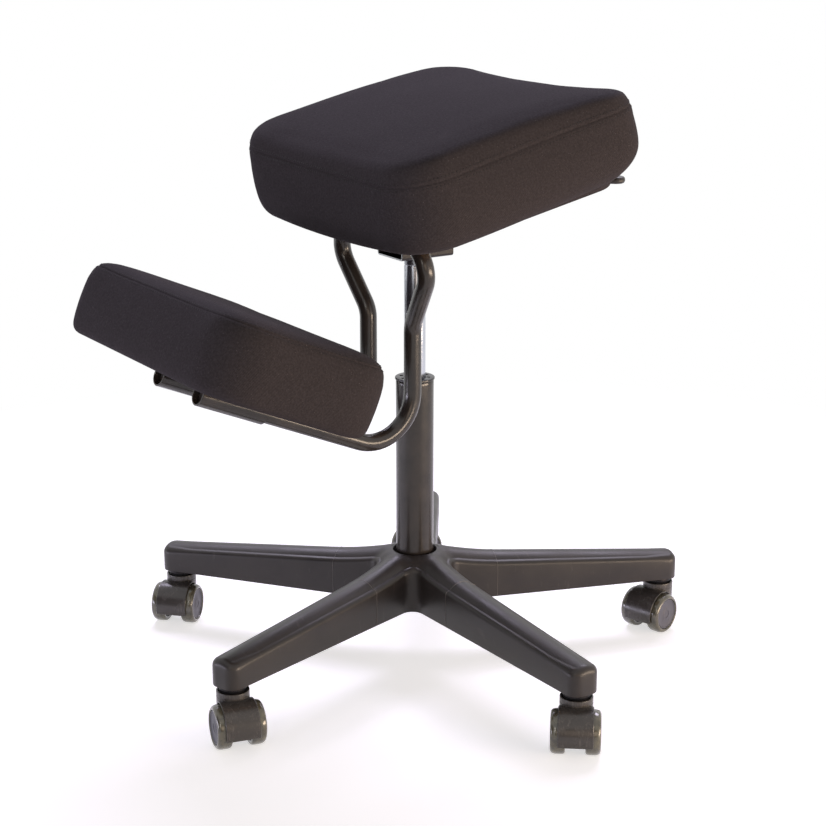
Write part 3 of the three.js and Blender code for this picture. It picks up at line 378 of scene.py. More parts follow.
def star_base_sheets():
    """One leg's share of the base: its top, its pocket's roof, its skirt and the hub's socket."""
    top_plan = rows_across(inset_outline(rounding), hub_rim_radius)
    pocket_half = leg_half_width(pocket_end) - leg_wall
    roof_points = inset_outline(leg_wall)
    roof_points[:, 1] = np.where(outline_x > pocket_end, pocket_half, roof_points[:, 1])
    roof_points[:, 0] = np.minimum(roof_points[:, 0], pocket_end)
    roof_plan = rows_across(roof_points, roof_start_radius)
    top = np.dstack([top_plan, base_height(top_plan[..., 0], top_plan[..., 1])])
    roof = np.dstack([roof_plan, pocket_roof(roof_plan[..., 0], roof_plan[..., 1])])

    # The rim of the skin, from the rolled edge down the side, under the lip and up inside.
    front = column_shares[-2:0:-1]
    half_loop = np.column_stack([base_steps, rounding])
    tip = half_loop[-1]
    front_loop = np.array([(tip[0], tip[1] * share, -1.0, 0.0, tip[4]) for share in front])
    mirror = half_loop[::-1] * np.array([1, -1, 1, -1, 1])
    loop = np.concatenate([half_loop, front_loop, mirror])
    front_inner = np.array([(pocket_end, share * pocket_half) for share in front])
    inner = np.concatenate([roof_points, front_inner, roof_points[::-1] * np.array([1, -1])])
    plan, normal, turn_radius = loop[:, :2], loop[:, 2:4], loop[:, 4:5]
    edge_at = plan + normal * turn_radius
    edge_height = base_height(edge_at[:, 0], edge_at[:, 1])[:, None]
    foot = leg_bottom(plan[:, 0])[:, None]
    rings = []
    for angle in np.radians(np.linspace(0, 90, 7)):
        rings.append(np.hstack([
            plan + normal * turn_radius * (1 - math.sin(angle)),
            edge_height - turn_radius * (1 - math.cos(angle)),
        ]))
    rings.append(np.hstack([plan, foot + lip_round]))
    rings.append(np.hstack([plan + normal * lip_chamfer, foot + lip_chamfer]))
    rings.append(np.hstack([plan + normal * lip_round, foot]))
    rings.append(np.hstack([inner, foot]))
    rings.append(np.hstack([inner, pocket_roof(inner[:, 0], inner[:, 1])[:, None]]))

    # The hub's middle: rim lip, well round the column, tapered bore and the wall round it.
    angles = half_turn * column_shares
    socket = [np.stack([radius * np.cos(angles), radius * np.sin(angles), np.full(len(angles), height)], 1)
              for radius, height in socket_profile]
    patches = (top, roof, np.array(rings), np.array([top[0]] + socket + [roof[0]]))
    return [(patch, grid_faces(patch.shape[0], patch.shape[1])) for patch in patches]


rib_count, ribs_start, rib_above_foot, rib_let_in = 5, 70, 8, 0.6


def leg_ribs():
    """Cross ribs under a leg, each a thin tapered plate let into the leg's walls and roof."""
    sheets = []
    for rib in range(rib_count):
        x = ribs_start + (pocket_end - ribs_start) * (rib + 1) / (rib_count + 1)
        half = leg_half_width(x) - leg_wall + rib_let_in
        roof = min(pocket_ceiling, float(base_height(x, half * 0.9)) - leg_wall) + rib_let_in
        sill = leg_bottom(x) + rib_above_foot
        rings = []
        for height, thick in ((sill, 1.0), (sill + 0.6, 1.3), (roof, 1.7)):
            plan = ((x - thick, -half), (x + thick, -half), (x + thick, half), (x - thick, half))
            rings.append([(*corner, height) for corner in plan])
        sheets.append(lofted(rings, capped=True))
    return sheets


def material(name, **uniform):
    """A new material, its node tree, its shader and a socket with the piece's own coordinates."""
    made = bpy.data.materials.new(name)
    made.use_nodes = True
    tree = made.node_tree
    shader = tree.nodes["Principled BSDF"]
    for socket, value in uniform.items():
        shader.inputs[socket.replace("_", " ")].default_value = value
    return made, tree, shader, add(tree, "ShaderNodeTexCoord", output="Object")


def speckle(tree, place, size_mm, detail=2.0, stretch=(1, 1, 1), spread=None):
    """Random light and dark of a real size, in millimetres, that can be drawn out along an axis.
    Spread gives the level that becomes 0, the one above which it stays level, and that level."""
    moved_place = add(tree, "ShaderNodeMapping", {"Vector": place, "Scale": stretch})
    pattern = add(tree, "ShaderNodeTexNoise", {
        "Vector": moved_place, "Scale": 1000 / size_mm, "Detail": detail, "Roughness": 0.55})
    if spread is None:
        return pattern
    low, high, most = spread
    return add(tree, "ShaderNodeMapRange", {
        "Value": pattern, "From Min": low, "From Max": high, "To Max": most})


def edge_wear(tree, low, high):
    """1 on sharp outer edges, where handling rubs a surface first."""
    sharpness = add(tree, "ShaderNodeNewGeometry", output="Pointiness")
    return add(tree, "ShaderNodeMapRange", {"Value": sharpness, "From Min": low, "From Max": high})


def layered(tree, ground, *layers):
    """A ground colour with others laid over it, each as far as its own pattern is near 1."""
    colour = linear(ground)
    for pattern, tint in layers:
        inputs = {"Factor": pattern, "A": colour, "B": linear(tint)}
        colour = add(tree, "ShaderNodeMix", inputs, data_type="RGBA")
    return colour


def surface(tree, shader, colour, grain, gloss=None):
    """Joins a finish's patterns to its shader. Grain is a height pattern, its strength and its
    depth in metres. Gloss is a pattern with the roughness where it is 0 and where it is 1."""
    height, strength, depth = grain
    relief = add(tree, "ShaderNodeBump", {"Height": height, "Strength": strength, "Distance": depth})
    tree.links.new(colour, shader.inputs["Base Color"])
    tree.links.new(relief, shader.inputs["Normal"])
    if gloss:
        pattern, smooth, rough = gloss
        roughness = add(tree, "ShaderNodeMapRange", {"Value": pattern, "To Min": smooth, "To Max": rough})
        tree.links.new(roughness, shader.inputs["Roughness"])


# Glass-filled nylon, spark-eroded mould texture: a dull satin whose grain is about 0.9 mm, with
# faint flow clouding 50 mm across, pale scuffs on the flats and edges polished by handling.
nylon, tree, shader, place = material("moulded_glass_filled_nylon", IOR=1.53, Specular_IOR_Level=0.34)
clouding = speckle(tree, place, 50, 3, spread=(0.35, 0.65, 1))
scuffs = speckle(tree, place, 26, 5, (1, 4, 1), spread=(0.62, 0.78, 0.32))
rubbed_edges = edge_wear(tree, 0.52, 0.6)
surface(tree, shader,
        layered(tree, "#272322", (clouding, "#2f2b29"), (scuffs, "#55504d"), (rubbed_edges, "#3f3a38")),
        grain=(speckle(tree, place, 0.9, 1), 0.35, 0.00012), gloss=(clouding, 0.36, 0.44))

star_base = make_piece(
    "star_base_moulding", on_each_leg(star_base_sheets()) + on_each_leg(leg_ribs()), crease=40)
star_base.data.materials.append(nylon)
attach(star_base, "base")
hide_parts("star_base")

# The witness line stands a few tenths proud, and it is drawn paler than the moulded skin.
flash, tree, shader, place = material("nylon_witness_edge", Roughness=0.4, IOR=1.53)
surface(tree, shader, layered(tree, "#4a4543", (speckle(tree, place, 6, 2), "#6b6562")),
        grain=(speckle(tree, place, 1.2), 0.3, 0.0001))
witness_at, witness_above_foot = 110.0, 1.2
witness_half, witness_proud, witness_sunk = 0.5, 0.3, 0.5


def witness_line():
    """A low bead over one leg, up one side, across the crown and down the other."""
    half = leg_half_width(witness_at)
    foot = leg_bottom(witness_at)
    edge = float(base_height(witness_at, half - edge_round))
    path = [(half, foot + witness_above_foot, 1.0, 0.0), (half, edge - edge_round, 1.0, 0.0)]
    for angle in np.radians(np.linspace(15, 75, 4)):
        path.append((half - edge_round * (1 - math.cos(angle)), edge - edge_round * (1 - math.sin(angle)),
                     math.cos(angle), math.sin(angle)))
    for y in np.linspace(half - edge_round, 0, 8):
        path.append((y, float(base_height(witness_at, y)), 0.0, 1.0))
    path = path + [(-y, z, -out, up) for y, z, out, up in path[-2::-1]]
    rings = []
    for y, z, out, up in path:
        low_y, low_z = y - out * witness_sunk, z - up * witness_sunk
        high_y, high_z = y + out * witness_proud, z + up * witness_proud
        rings.append([
            (witness_at - witness_half, low_y, low_z),
            (witness_at - witness_half * 0.5, high_y, high_z),
            (witness_at + witness_half * 0.5, high_y, high_z),
            (witness_at + witness_half, low_y, low_z),
        ])
    return [lofted(rings, capped=True)]


witness = make_piece("star_base_witness_lines", on_each_leg(witness_line()), crease=60)
witness.data.materials.append(flash)
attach(witness, "base")

# Castors
# Each castor is a steel stem with a black flange, a moulded body with a hood over its two wheels,
# and a pair of discs with soft polyurethane treads moulded on. All turn freely.
stem_circle = 355.0
castor_headings = [264.6, 229.5, 228.0, 257.6, 290.0]
heading_from_camera = 57.3
wheel_radius = 27.62
axle_height = 27.655
castor_trail = 20.0
wheel_inner, wheel_outer = 12.0, 30.7
core_radius = 21.3
hood_half, hood_outer, hood_inner = 21.6, 30.6, 28.9
hood_narrowing = 0.03
web_half, web_reach = 5.0, 29.6
collar_radius, collar_bottom, collar_cut_top = 20.5, 34.0, 54.0
collar_inside, collar_middle = 0.55, 52.0
cut_sharpness = 0.002
collar_rim = [
    (0.0, 62.0), (14.0, 62.0), (17.6, 62.2), (18.1, 63.0), (18.1, 65.2), (18.6, 65.9), (19.6, 66.0),
    (20.3, 65.6), (20.5, 64.8), (20.5, 59.6), (20.0, 59.2), (20.0, 58.4), (20.5, 58.0), (20.5, 55.0)]


def soften(profile, rounds=2, closed=False):
    """Cuts the corners off a line of points, again and again, so that it turns smoothly."""
    line = [np.array(point, float) for point in profile]
    for _ in range(rounds):
        cut = []
        pairs = list(zip(line, line[1:] + line[:1])) if closed else list(zip(line, line[1:]))
        for start, end in pairs:
            cut.append(start * 0.75 + end * 0.25)
            cut.append(start * 0.25 + end * 0.75)
        line = cut if closed else [line[0]] + cut[1:-1] + [line[-1]]
    return [tuple(point) for point in line]


def turned(profile, sides, closed=False):
    """A body turned about Z from a list of (radius, height). Ends on the axis close in a fan."""
    angles = np.linspace(0, 2 * math.pi, sides, endpoint=False)
    rings = [[(radius * math.cos(angle), radius * math.sin(angle), height) for angle in angles]
             for radius, height in profile]
    return lofted(rings + rings[:1] if closed else rings)


def moved(sheet, matrix):
    points, faces = sheet
    rotation = np.array(matrix.to_3x3())
    return np.asarray(points) @ rotation.T + np.array(matrix.translation), faces


def castor_matrix(number, swivels=True):
    angle = first_leg + 2 * half_turn * (number - 1)
    heading = math.radians(castor_headings[number - 1] + heading_from_camera) if swivels else 0.0
    place = Matrix.Translation((stem_circle * math.cos(angle), stem_circle * math.sin(angle), 0))
    return place @ Matrix.Rotation(heading, 4, "Z")


def laid_wheel(sheet, side):
    on_axle = Matrix.Translation((castor_trail, 0, axle_height))
    return moved(sheet, on_axle @ Matrix.Rotation(-side * math.pi / 2, 4, "X"))


def castor_hood():
    """The hood over both wheels: a curved shell with rolled ends, and the web between the wheels."""
    half_section = [(hood_inner + 0.1, -hood_half + 0.6), (hood_inner + 0.6, -hood_half),
                    (hood_outer - 0.9, -hood_half), (hood_outer, -hood_half + 0.9)]
    other_half = [(r, -y) for r, y in half_section[::-1]]
    section = soften(half_section + [(hood_outer, 0)] + other_half, 1, closed=True)
    angles = np.concatenate([[-18, -17.2], np.linspace(-15.5, 125.5, 48), [127.2, 128]])
    shares = np.concatenate([[0.35, 0.8], np.ones(48), [0.8, 0.35]])
    middle = (hood_outer + hood_inner) / 2
    rings = []
    for degrees, share in zip(angles, shares):
        angle = math.radians(degrees)
        narrowed = 1 - hood_narrowing + hood_narrowing * share
        rings.append([(castor_trail + (middle + (r - middle) * share) * math.cos(angle), y * narrowed,
                       axle_height + (middle + (r - middle) * share) * math.sin(angle)) for r, y in section])
    fan = [(castor_trail, axle_height)] + [
        (castor_trail + web_reach * math.cos(angle), axle_height + web_reach * math.sin(angle))
        for angle in np.radians(np.linspace(-17, 127, 37))]
    web = [[(x, y, z) for x, z in fan] for y in (-web_half, web_half)]
    half_hub = [(9, web_half - 0.4), (8.4, web_half + 0.2), (0, web_half + 0.2)]
    hub = turned([(r, -y) for r, y in half_hub[::-1]] + half_hub, 32)
    return [lofted(rings, capped=True), lofted(web, capped=True), laid_wheel(hub, 1)]


def castor_collar():
    """The collar round the stem. Its lower edge is cut away where the wheels turn beside the web."""
    web_turn = math.asin(web_half / collar_radius)
    cut_ends = {turn + side for turn in (web_turn, -web_turn, math.pi - web_turn, web_turn - math.pi)
                for side in (-cut_sharpness, cut_sharpness)}
    even = np.linspace(0, 2 * math.pi, 96, endpoint=False)
    angles = sorted(set(even) | {turn % (2 * math.pi) for turn in cut_ends})
    rings = [[(r * math.cos(a), r * math.sin(a), z) for a in angles] for r, z in collar_rim]
    lower, under = [], []
    for angle in angles:
        x, y = collar_radius * math.cos(angle), collar_radius * math.sin(angle)
        reach = hood_inner ** 2 - (x - castor_trail) ** 2
        cut = axle_height + math.sqrt(reach) if reach > 0 and abs(y) > web_half else collar_bottom
        cut = max(min(cut, collar_cut_top), collar_bottom)
        lower.append((x, y, cut))
        under.append((x * collar_inside, y * collar_inside, cut))
    return [lofted(rings + [lower, under, [(0.0, 0.0, collar_middle)] * len(angles)])]


tread_profile = soften([
    (core_radius, wheel_inner + 1.3), (22.6, wheel_inner), (26.2, wheel_inner + 0.2),
    (wheel_radius, wheel_inner + 2.6), (wheel_radius, 21.3), (wheel_radius, wheel_outer - 6.4),
    (26.7, wheel_outer - 2.3), (24.3, wheel_outer - 0.3), (22.4, wheel_outer),
    (core_radius, wheel_outer - 1.3)], 2, closed=True)
core_profile = [
    (0, 5.3), (7.5, 5.3), (8.0, 5.8), (20.4, 12.8), (21.1, 13.6), (21.1, 28.9), (20.8, 29.5), (20.2, 29.7),
    (19.4, 29.5), (19.0, 28.9), (18.6, 28.7), (9.4, 28.9), (8.8, 29.1), (6.2, 29.5), (5.8, 29.6), (5.2, 29.5),
    (4.9, 29.0), (4.4, 28.9), (2.0, 29.3), (0, 29.4)]
stem_profile = [
    (0, 45), (5.2, 45), (5.5, 45.4), (5.5, 63.2), (6.2, 63.8), (16.2, 63.8), (17.0, 64.4), (17.2, 65.2),
    (17.2, 67.4), (16.4, 67.8), (16.4, 68.8), (17.2, 69.2), (17.2, 71.4), (16.9, 72.4), (16.2, 72.7),
    (5.5, 72.7), (5.5, 73.2), (5.5, 94), (4.6, 97), (0, 97)]

# Polypropylene, moulded charcoal grey: satin, with streaks that carpet and shoes rub into it.
castor_plastic, tree, shader, place = material("moulded_charcoal_polypropylene", IOR=1.49)
streaks = speckle(tree, place, 1.6, 2, (1, 1, 0.08), spread=(0.5, 0.75, 0.5))
patches = speckle(tree, place, 18, 2, spread=(0.4, 0.62, 1))
rubbed = add(tree, "ShaderNodeMath", {0: streaks, 1: patches}, operation="MULTIPLY")
surface(tree, shader, layered(tree, "#3f3c3a", (rubbed, "#7d7874")),
        grain=(speckle(tree, place, 0.7, 1), 0.3, 0.0001), gloss=(patches, 0.22, 0.32))

# Polyurethane tread, cast and glossy: olive grey, a little cloudy, with dust ground into the rim.
tread_rubber, tree, shader, place = material(
    "cast_polyurethane_tread", IOR=1.5, Coat_Weight=0.6, Coat_Roughness=0.1)
cloud = speckle(tree, place, 9, 3, spread=(0.35, 0.65, 1))
surface(tree, shader, layered(tree, "#45433a", (cloud, "#64614f")),
        grain=(speckle(tree, place, 2.5, 2), 0.15, 0.0001), gloss=(speckle(tree, place, 9, 3), 0.14, 0.3))

# ABS, moulded grey: matt blue-grey disc with fine grain and a few hair scratches.
disc_plastic, tree, shader, place = material("moulded_grey_abs", IOR=1.52)
scratches = speckle(tree, place, 3, 3, (1, 1, 0.1), spread=(0.6, 0.8, 0.6))
surface(tree, shader, layered(tree, "#484852", (scratches, "#64646e")),
        grain=(speckle(tree, place, 0.8, 1), 0.25, 0.0001), gloss=(speckle(tree, place, 12), 0.42, 0.6))

# Steel with a black oxide finish: dark, waxy and slightly uneven.
blackened_steel, tree, shader, place = material("black_oxide_steel", Metallic=1.0)
surface(tree, shader, layered(tree, "#1d1c1d", (speckle(tree, place, 4, 3), "#343233")),
        grain=(speckle(tree, place, 0.5), 0.2, 0.00005), gloss=(speckle(tree, place, 2), 0.3, 0.5))

# Zinc-plated steel: bright grey with the cloudy spangle of barrel plating.
zinc_steel, tree, shader, place = material("zinc_plated_steel", Metallic=1.0)
surface(tree, shader, layered(tree, "#a9abb0", (speckle(tree, place, 3, 3), "#c6c8cb")),
        grain=(speckle(tree, place, 0.6), 0.2, 0.00004), gloss=(speckle(tree, place, 1.5), 0.22, 0.42))


def refinished(node, finish):
    """A CAD solid that is shown as it is, with a finish of its own."""
    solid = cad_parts[node]
    solid.data.materials.clear()
    solid.data.materials.append(finish)
    return solid


for number in range(1, leg_count + 1):
    refinished(f"castor_axle_{number}", zinc_steel)
    upright = castor_matrix(number)
    socketed = castor_matrix(number, swivels=False)
    stem = make_piece(f"castor_{number}_stem", [turned(stem_profile, 40)], turn=socketed)
    stem.data.materials.append(blackened_steel)
    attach(stem, "base")
    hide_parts(f"castor_stem_{number}")
    body = make_piece(f"castor_{number}_body", castor_hood() + castor_collar(), turn=upright)
    body.data.materials.append(castor_plastic)
    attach(body, f"castor_{number}")
    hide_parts(f"castor_body_{number}")
    for side, letter in ((1, "a"), (-1, "b")):
        core = make_piece(
            f"castor_{number}_disc_{letter}", [laid_wheel(turned(core_profile, 56), side)], turn=upright)
        core.data.materials.append(disc_plastic)
        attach(core, f"wheel_{number}{letter}")
        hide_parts(f"wheel_core_{number}{letter}")
        tread = make_piece(
            f"castor_{number}_tread_{letter}", [laid_wheel(turned(tread_profile, 72, closed=True), side)],
            crease=50, turn=upright)
        tread.data.materials.append(tread_rubber)
        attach(tread, f"wheel_{number}{letter}")
        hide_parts(f"wheel_tread_{number}{letter}")

# Gas lift
# The column is a steel tube driven into the hub's taper and powder coated black. A slotted bush in
# its mouth guides the chromed pressure tube, which slides on a rod clipped under the column.
column_radius, column_foot_radius, column_wall = 25.0, 23.66, 2.5
column_bottom, taper_top, column_rim = 84.0, 135.0, 383.0
bush_flange, bush_sleeve, bush_bore = 26.2, 22.2, 14.3
bush_foot, flange_bottom, flange_top = 308.0, 383.3, 386.3
rod_hole, column_foot = 5.9, 4.0
bush_slots, slot_size = 8, 4.0
tube_radius, tube_foot, tube_neck, tube_head = 14.0, 303.0, 548.0, 584.0
crimp_height = 536.0


def block(size, centre):
    """A rectangular body from its size and its centre."""
    plan = ((-0.5, -0.5), (0.5, -0.5), (0.5, 0.5), (-0.5, 0.5))
    points, faces = lofted([[(x, y, z) for x, y in plan] for z in (-0.5, 0.5)], capped=True)
    return points * np.array(size) + np.array(centre), faces


def carve(piece, sheets, crease=35):
    """Cuts closed bodies out of a piece, as a drill or the core of a mould would."""
    cutter = make_piece(piece.name + "_cutter", sheets)
    cut = piece.modifiers.new("cut", "BOOLEAN")
    cut.operation = "DIFFERENCE"
    cut.solver = "EXACT"
    cut.object = cutter
    bpy.context.view_layer.update()
    carved = bpy.data.meshes.new_from_object(piece.evaluated_get(bpy.context.evaluated_depsgraph_get()))
    piece.modifiers.clear()
    piece.data = carved
    bpy.data.objects.remove(cutter)
    carved.shade_smooth()
    carved.set_sharp_from_angle(angle=math.radians(crease))


def soft_edges(piece, width_mm, segments=2):
    """Rounds the sharp edges of a cut or pressed piece, as a deburring wheel does."""
    bevel = piece.modifiers.new("soft_edges", "BEVEL")
    bevel.width = width_mm / 1000
    bevel.segments = segments
    bevel.limit_method = "ANGLE"
    bevel.angle_limit = math.radians(40)
    bevel.use_clamp_overlap = True
    piece.data.shade_smooth()


# Polyester powder coat, baked on steel: satin black with a warm cast and the low ripple that the
# powder leaves as it flows, about 3 mm from crest to crest. Edges are rubbed back to grey.
powder_coat, tree, shader, place = material(
    "baked_black_powder_coat", IOR=1.52, Specular_IOR_Level=0.36, Coat_Weight=0.14, Coat_Roughness=0.12)
drift = speckle(tree, place, 40, 3, spread=(0.35, 0.65, 1))
dust = speckle(tree, place, 2.2, 2, spread=(0.74, 0.9, 0.5))
rubbed_edges = edge_wear(tree, 0.56, 0.66)
surface(tree, shader,
        layered(tree, "#292523", (drift, "#35302d"), (rubbed_edges, "#6e6a68"), (dust, "#4b4643")),
        grain=(speckle(tree, place, 3, 1), 0.35, 0.00016), gloss=(drift, 0.2, 0.27))

foot_top, inside_radius = column_bottom + column_foot, column_radius - column_wall
column = make_piece("gas_lift_column", [turned([
    (rod_hole, column_bottom), (column_foot_radius - 0.8, column_bottom),
    (column_foot_radius, column_bottom + 0.8), (column_foot_radius + 0.1, foot_top),
    (column_radius, taper_top),
    (column_radius, column_rim - 5), (column_radius, column_rim - 1.2),
    (column_radius - 0.4, column_rim - 0.3), (column_radius - 1.1, column_rim),
    (inside_radius + 0.5, column_rim), (inside_radius, column_rim - 0.5), (inside_radius, taper_top),
    (column_foot_radius - column_wall, foot_top), (rod_hole, foot_top)], 96, closed=True)])
column.data.materials.append(powder_coat)
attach(column, "base")
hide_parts("column_tube")

# Acetal, moulded black: slick and faintly milky, scraped pale where the tube was pushed in.
acetal, tree, shader, place = material("moulded_black_acetal", IOR=1.48)
scraped = speckle(tree, place, 5, 3, (1, 1, 0.3), spread=(0.6, 0.85, 0.8))
surface(tree, shader, layered(tree, "#232224", (scraped, "#76747a")),
        grain=(speckle(tree, place, 1), 0.2, 0.00008), gloss=(speckle(tree, place, 3), 0.18, 0.34))

bush = make_piece("gas_lift_guide_bush", [turned([
    (bush_bore, bush_foot), (bush_sleeve - 0.4, bush_foot), (bush_sleeve, bush_foot + 0.4),
    (bush_sleeve, flange_bottom), (bush_flange - 0.5, flange_bottom), (bush_flange, flange_bottom + 0.5),
    (bush_flange, flange_top - 0.9), (bush_flange - 0.3, flange_top - 0.25), (bush_flange - 1.0, flange_top),
    (bush_bore + 1.4, flange_top), (bush_bore + 0.4, flange_top - 0.4), (bush_bore, flange_top - 1.4)],
    96, closed=True)])
slot_cores = []
for slot in range(bush_slots):
    spin = Matrix.Rotation(2 * math.pi * slot / bush_slots, 4, "Z")
    core = block((slot_size, slot_size, slot_size * 2), ((bush_bore + bush_sleeve) / 2, 0, flange_top))
    slot_cores.append(moved(core, spin))
carve(bush, slot_cores)
soft_edges(bush, 0.3)
bush.data.materials.append(acetal)
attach(bush, "base")
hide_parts("guide_bush")

# Hard chrome on ground steel: a mirror with fine lengthwise polishing lines and a film of oil.
hard_chrome, tree, shader, place = material("ground_hard_chrome", Metallic=1.0)
film = speckle(tree, place, 12, 3, (1, 1, 0.3))
film_edges = speckle(tree, place, 12, 3, (1, 1, 0.3), spread=(0.35, 0.7, 1))
polish = speckle(tree, place, 0.8, 2, (1, 1, 0.02))
surface(tree, shader, layered(tree, "#b9bcc6", (film, "#ced1d9")),
        grain=(polish, 0.12, 0.00002), gloss=(film_edges, 0.2, 0.28))

tube_hole, tube_bore, tube_closing = 5.3, 11.5, 6.0
valve_bore, valve_seat, valve_floor = 4.3, 9.5, 17.5
crimp_depth = 0.35
crimp = [(tube_radius, -1.3), (tube_radius - 0.1, -0.9), (tube_radius - crimp_depth, -0.3)]
crimp += [(radius, -rise) for radius, rise in crimp[::-1]]
pressure_tube = make_piece("gas_lift_pressure_tube", [turned([
    (tube_hole, tube_foot), (tube_radius - 1.0, tube_foot), (tube_radius - 0.3, tube_foot + 0.3),
    (tube_radius, tube_foot + 1.0), *[(radius, crimp_height + rise) for radius, rise in crimp],
    (tube_radius, tube_neck), (tube_radius - 0.97, tube_head - 0.8), (tube_radius - 1.7, tube_head),
    (valve_bore, tube_head), (valve_bore, tube_head - valve_seat), (0, tube_head - valve_seat),
    (0, tube_head - valve_floor), (tube_bore, tube_head - valve_floor), (tube_bore, tube_foot + tube_closing),
    (tube_hole, tube_foot + tube_closing)], 80, closed=True)], crease=30)
pressure_tube.data.materials.append(hard_chrome)
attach(pressure_tube, "lift")
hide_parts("pressure_tube")

for node in ("thrust_bearing", "rod_clip", "piston_rod", "valve_button", "cone_socket"):
    soft_edges(refinished(node, zinc_steel), 0.3)
# Frame tube
# One length of steel tube, bent cold to a plan: two knee runs, two uprights, splayed necks and the
# cross bar that the seat rests on. Moulded plugs close its two ends.
frame_radius = 11.25
half_spacing = 54.0
tube_forward = 38.0
lower_bend, lower_bend_start = 58.3, 383.5
neck_height, neck_bend = 471.0, 36.0
neck_splay, neck_lean = 0.715, 0.14
cross_bar_height, cross_bar_bend = 581.1, 34.0
knee_tilt = math.radians(23)
knee_run_to_pad, sleeve_front, plug_recess, plug_thickness = 200.0, 41.5, 8.0, 3.0
seat_gap = 0.3
cut_end_round = 0.8

knee_direction = Vector((0, -math.cos(knee_tilt), math.sin(knee_tilt)))
knee_run_start = Vector((0, -tube_forward - lower_bend * (1 + math.sin(knee_tilt)),
                         lower_bend_start - lower_bend * math.cos(knee_tilt)))
pad_centre = knee_run_start + knee_direction * knee_run_to_pad
knee_run_length = knee_run_to_pad + sleeve_front - plug_recess - plug_thickness - seat_gap
cross_bar_forward = tube_forward + (cross_bar_height - neck_height) * neck_lean
neck_top_reach = half_spacing + (cross_bar_height - neck_height) * neck_splay


def bent_line(corners, bend_radii, steps):
    """The middle of a bent bar: straight runs, with each corner rounded to its bend radius."""
    line = [Vector(corners[0])]
    for before, corner, after, radius in zip(corners, corners[1:], corners[2:], bend_radii):
        inward = (Vector(corner) - Vector(before)).normalized()
        outward = (Vector(after) - Vector(corner)).normalized()
        turn = inward.angle(outward)
        start = Vector(corner) - inward * radius * math.tan(turn / 2)
        side = (outward - inward * math.cos(turn)).normalized()
        centre = start + side * radius
        for step in range(steps + 1):
            angle = turn * step / steps
            line.append(centre - side * radius * math.cos(angle) + inward * radius * math.sin(angle))
    line.append(Vector(corners[-1]))
    return line


def swept(line, radius, sides, end_round):
    """A round bar along a line, with closed ends whose edges are rounded."""
    tangents = [(line[1] - line[0]).normalized()]
    tangents += [((after - point).normalized() + (point - before).normalized()).normalized()
                 for before, point, after in zip(line, line[1:], line[2:])]
    tangents.append((line[-1] - line[-2]).normalized())
    across = tangents[0].orthogonal().normalized()
    rings = []
    for index, (point, tangent) in enumerate(zip(line, tangents)):
        across = (across - tangent * across.dot(tangent)).normalized()
        upward = tangent.cross(across)
        stations = [(0.0, radius)]
        edge = [(0.0, 0.0), (0.0, radius - end_round), (end_round * 0.3, radius - end_round * 0.3),
                (end_round, radius)]
        if index == 0:
            stations = edge
        elif index == len(line) - 1:
            stations = [(-ahead, ring) for ahead, ring in edge[::-1]]
        for ahead, ring in stations:
            middle = point + tangent * ahead
            rings.append([middle + across * ring * math.cos(angle) + upward * ring * math.sin(angle)
                          for angle in np.linspace(0, 2 * math.pi, sides, endpoint=False)])
    return lofted(rings)


def frame_corners():
    """The corners of the bent tube's middle line, from its left knee end round to the right one."""
    front = knee_run_start + knee_direction * knee_run_length
    corner_drop = lower_bend * math.tan(math.pi / 4 + knee_tilt / 2)
    left = [
        (half_spacing, front.y, front.z),
        (half_spacing, -tube_forward, lower_bend_start - corner_drop),
        (half_spacing, -tube_forward, neck_height),
        (neck_top_reach, -cross_bar_forward, cross_bar_height),
    ]
    return left + [(-x, y, z) for x, y, z in left[::-1]]


frame_bends = [lower_bend, neck_bend, cross_bar_bend, cross_bar_bend, neck_bend, lower_bend]
frame_line = bent_line(frame_corners(), frame_bends, 20)
frame_tube = make_piece("frame_tube_bent", [swept(frame_line, frame_radius, 48, cut_end_round)])
frame_tube.data.materials.append(powder_coat)
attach(frame_tube, "lift")
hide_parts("frame_tube")

plug_profile = [(0, 0), (frame_radius - 0.6, 0), (frame_radius, 0.5), (frame_radius, plug_thickness - 1.2),
                (frame_radius - 0.5, plug_thickness - 0.4), (frame_radius - 1.6, plug_thickness),
                (frame_radius - 3.4, plug_thickness - 0.5), (0, plug_thickness - 0.5)]
plug_start = knee_run_start + knee_direction * (knee_run_length + seat_gap)
for side, plug_name in ((1, "tube_plug_left"), (-1, "tube_plug_right")):
    along_run = (Matrix.Translation((side * half_spacing, plug_start.y, plug_start.z))
                 @ Matrix.Rotation(math.pi / 2 - knee_tilt, 4, "X"))
    plug = make_piece(plug_name + "_moulded", [turned(plug_profile, 48)], turn=along_run)
    plug.data.materials.append(castor_plastic)
    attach(plug, "lift")
    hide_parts(plug_name)

# Mechanism channel
# A folded steel channel, 2.5 mm thick and open at both ends, that is welded under the seat's plate
# and grips the gas lift's cone. Its cut ends show the bare edge of the sheet.
channel_half, channel_wall, fold_inside = 30.0, 2.5, 1.5
channel_front, channel_back = -38.0, 40.0
seat_tilt = math.radians(12.3)
seat_plane = (cross_bar_height + (frame_radius + seat_gap) / math.cos(seat_tilt)
              + cross_bar_forward * math.tan(seat_tilt))
socket_hole = 17.6
lever_pivot = Vector((0, 27.0, 593.3))
lever_pin_radius, pin_head_radius, pin_head_thickness = 3.0, 5.5, 2.5


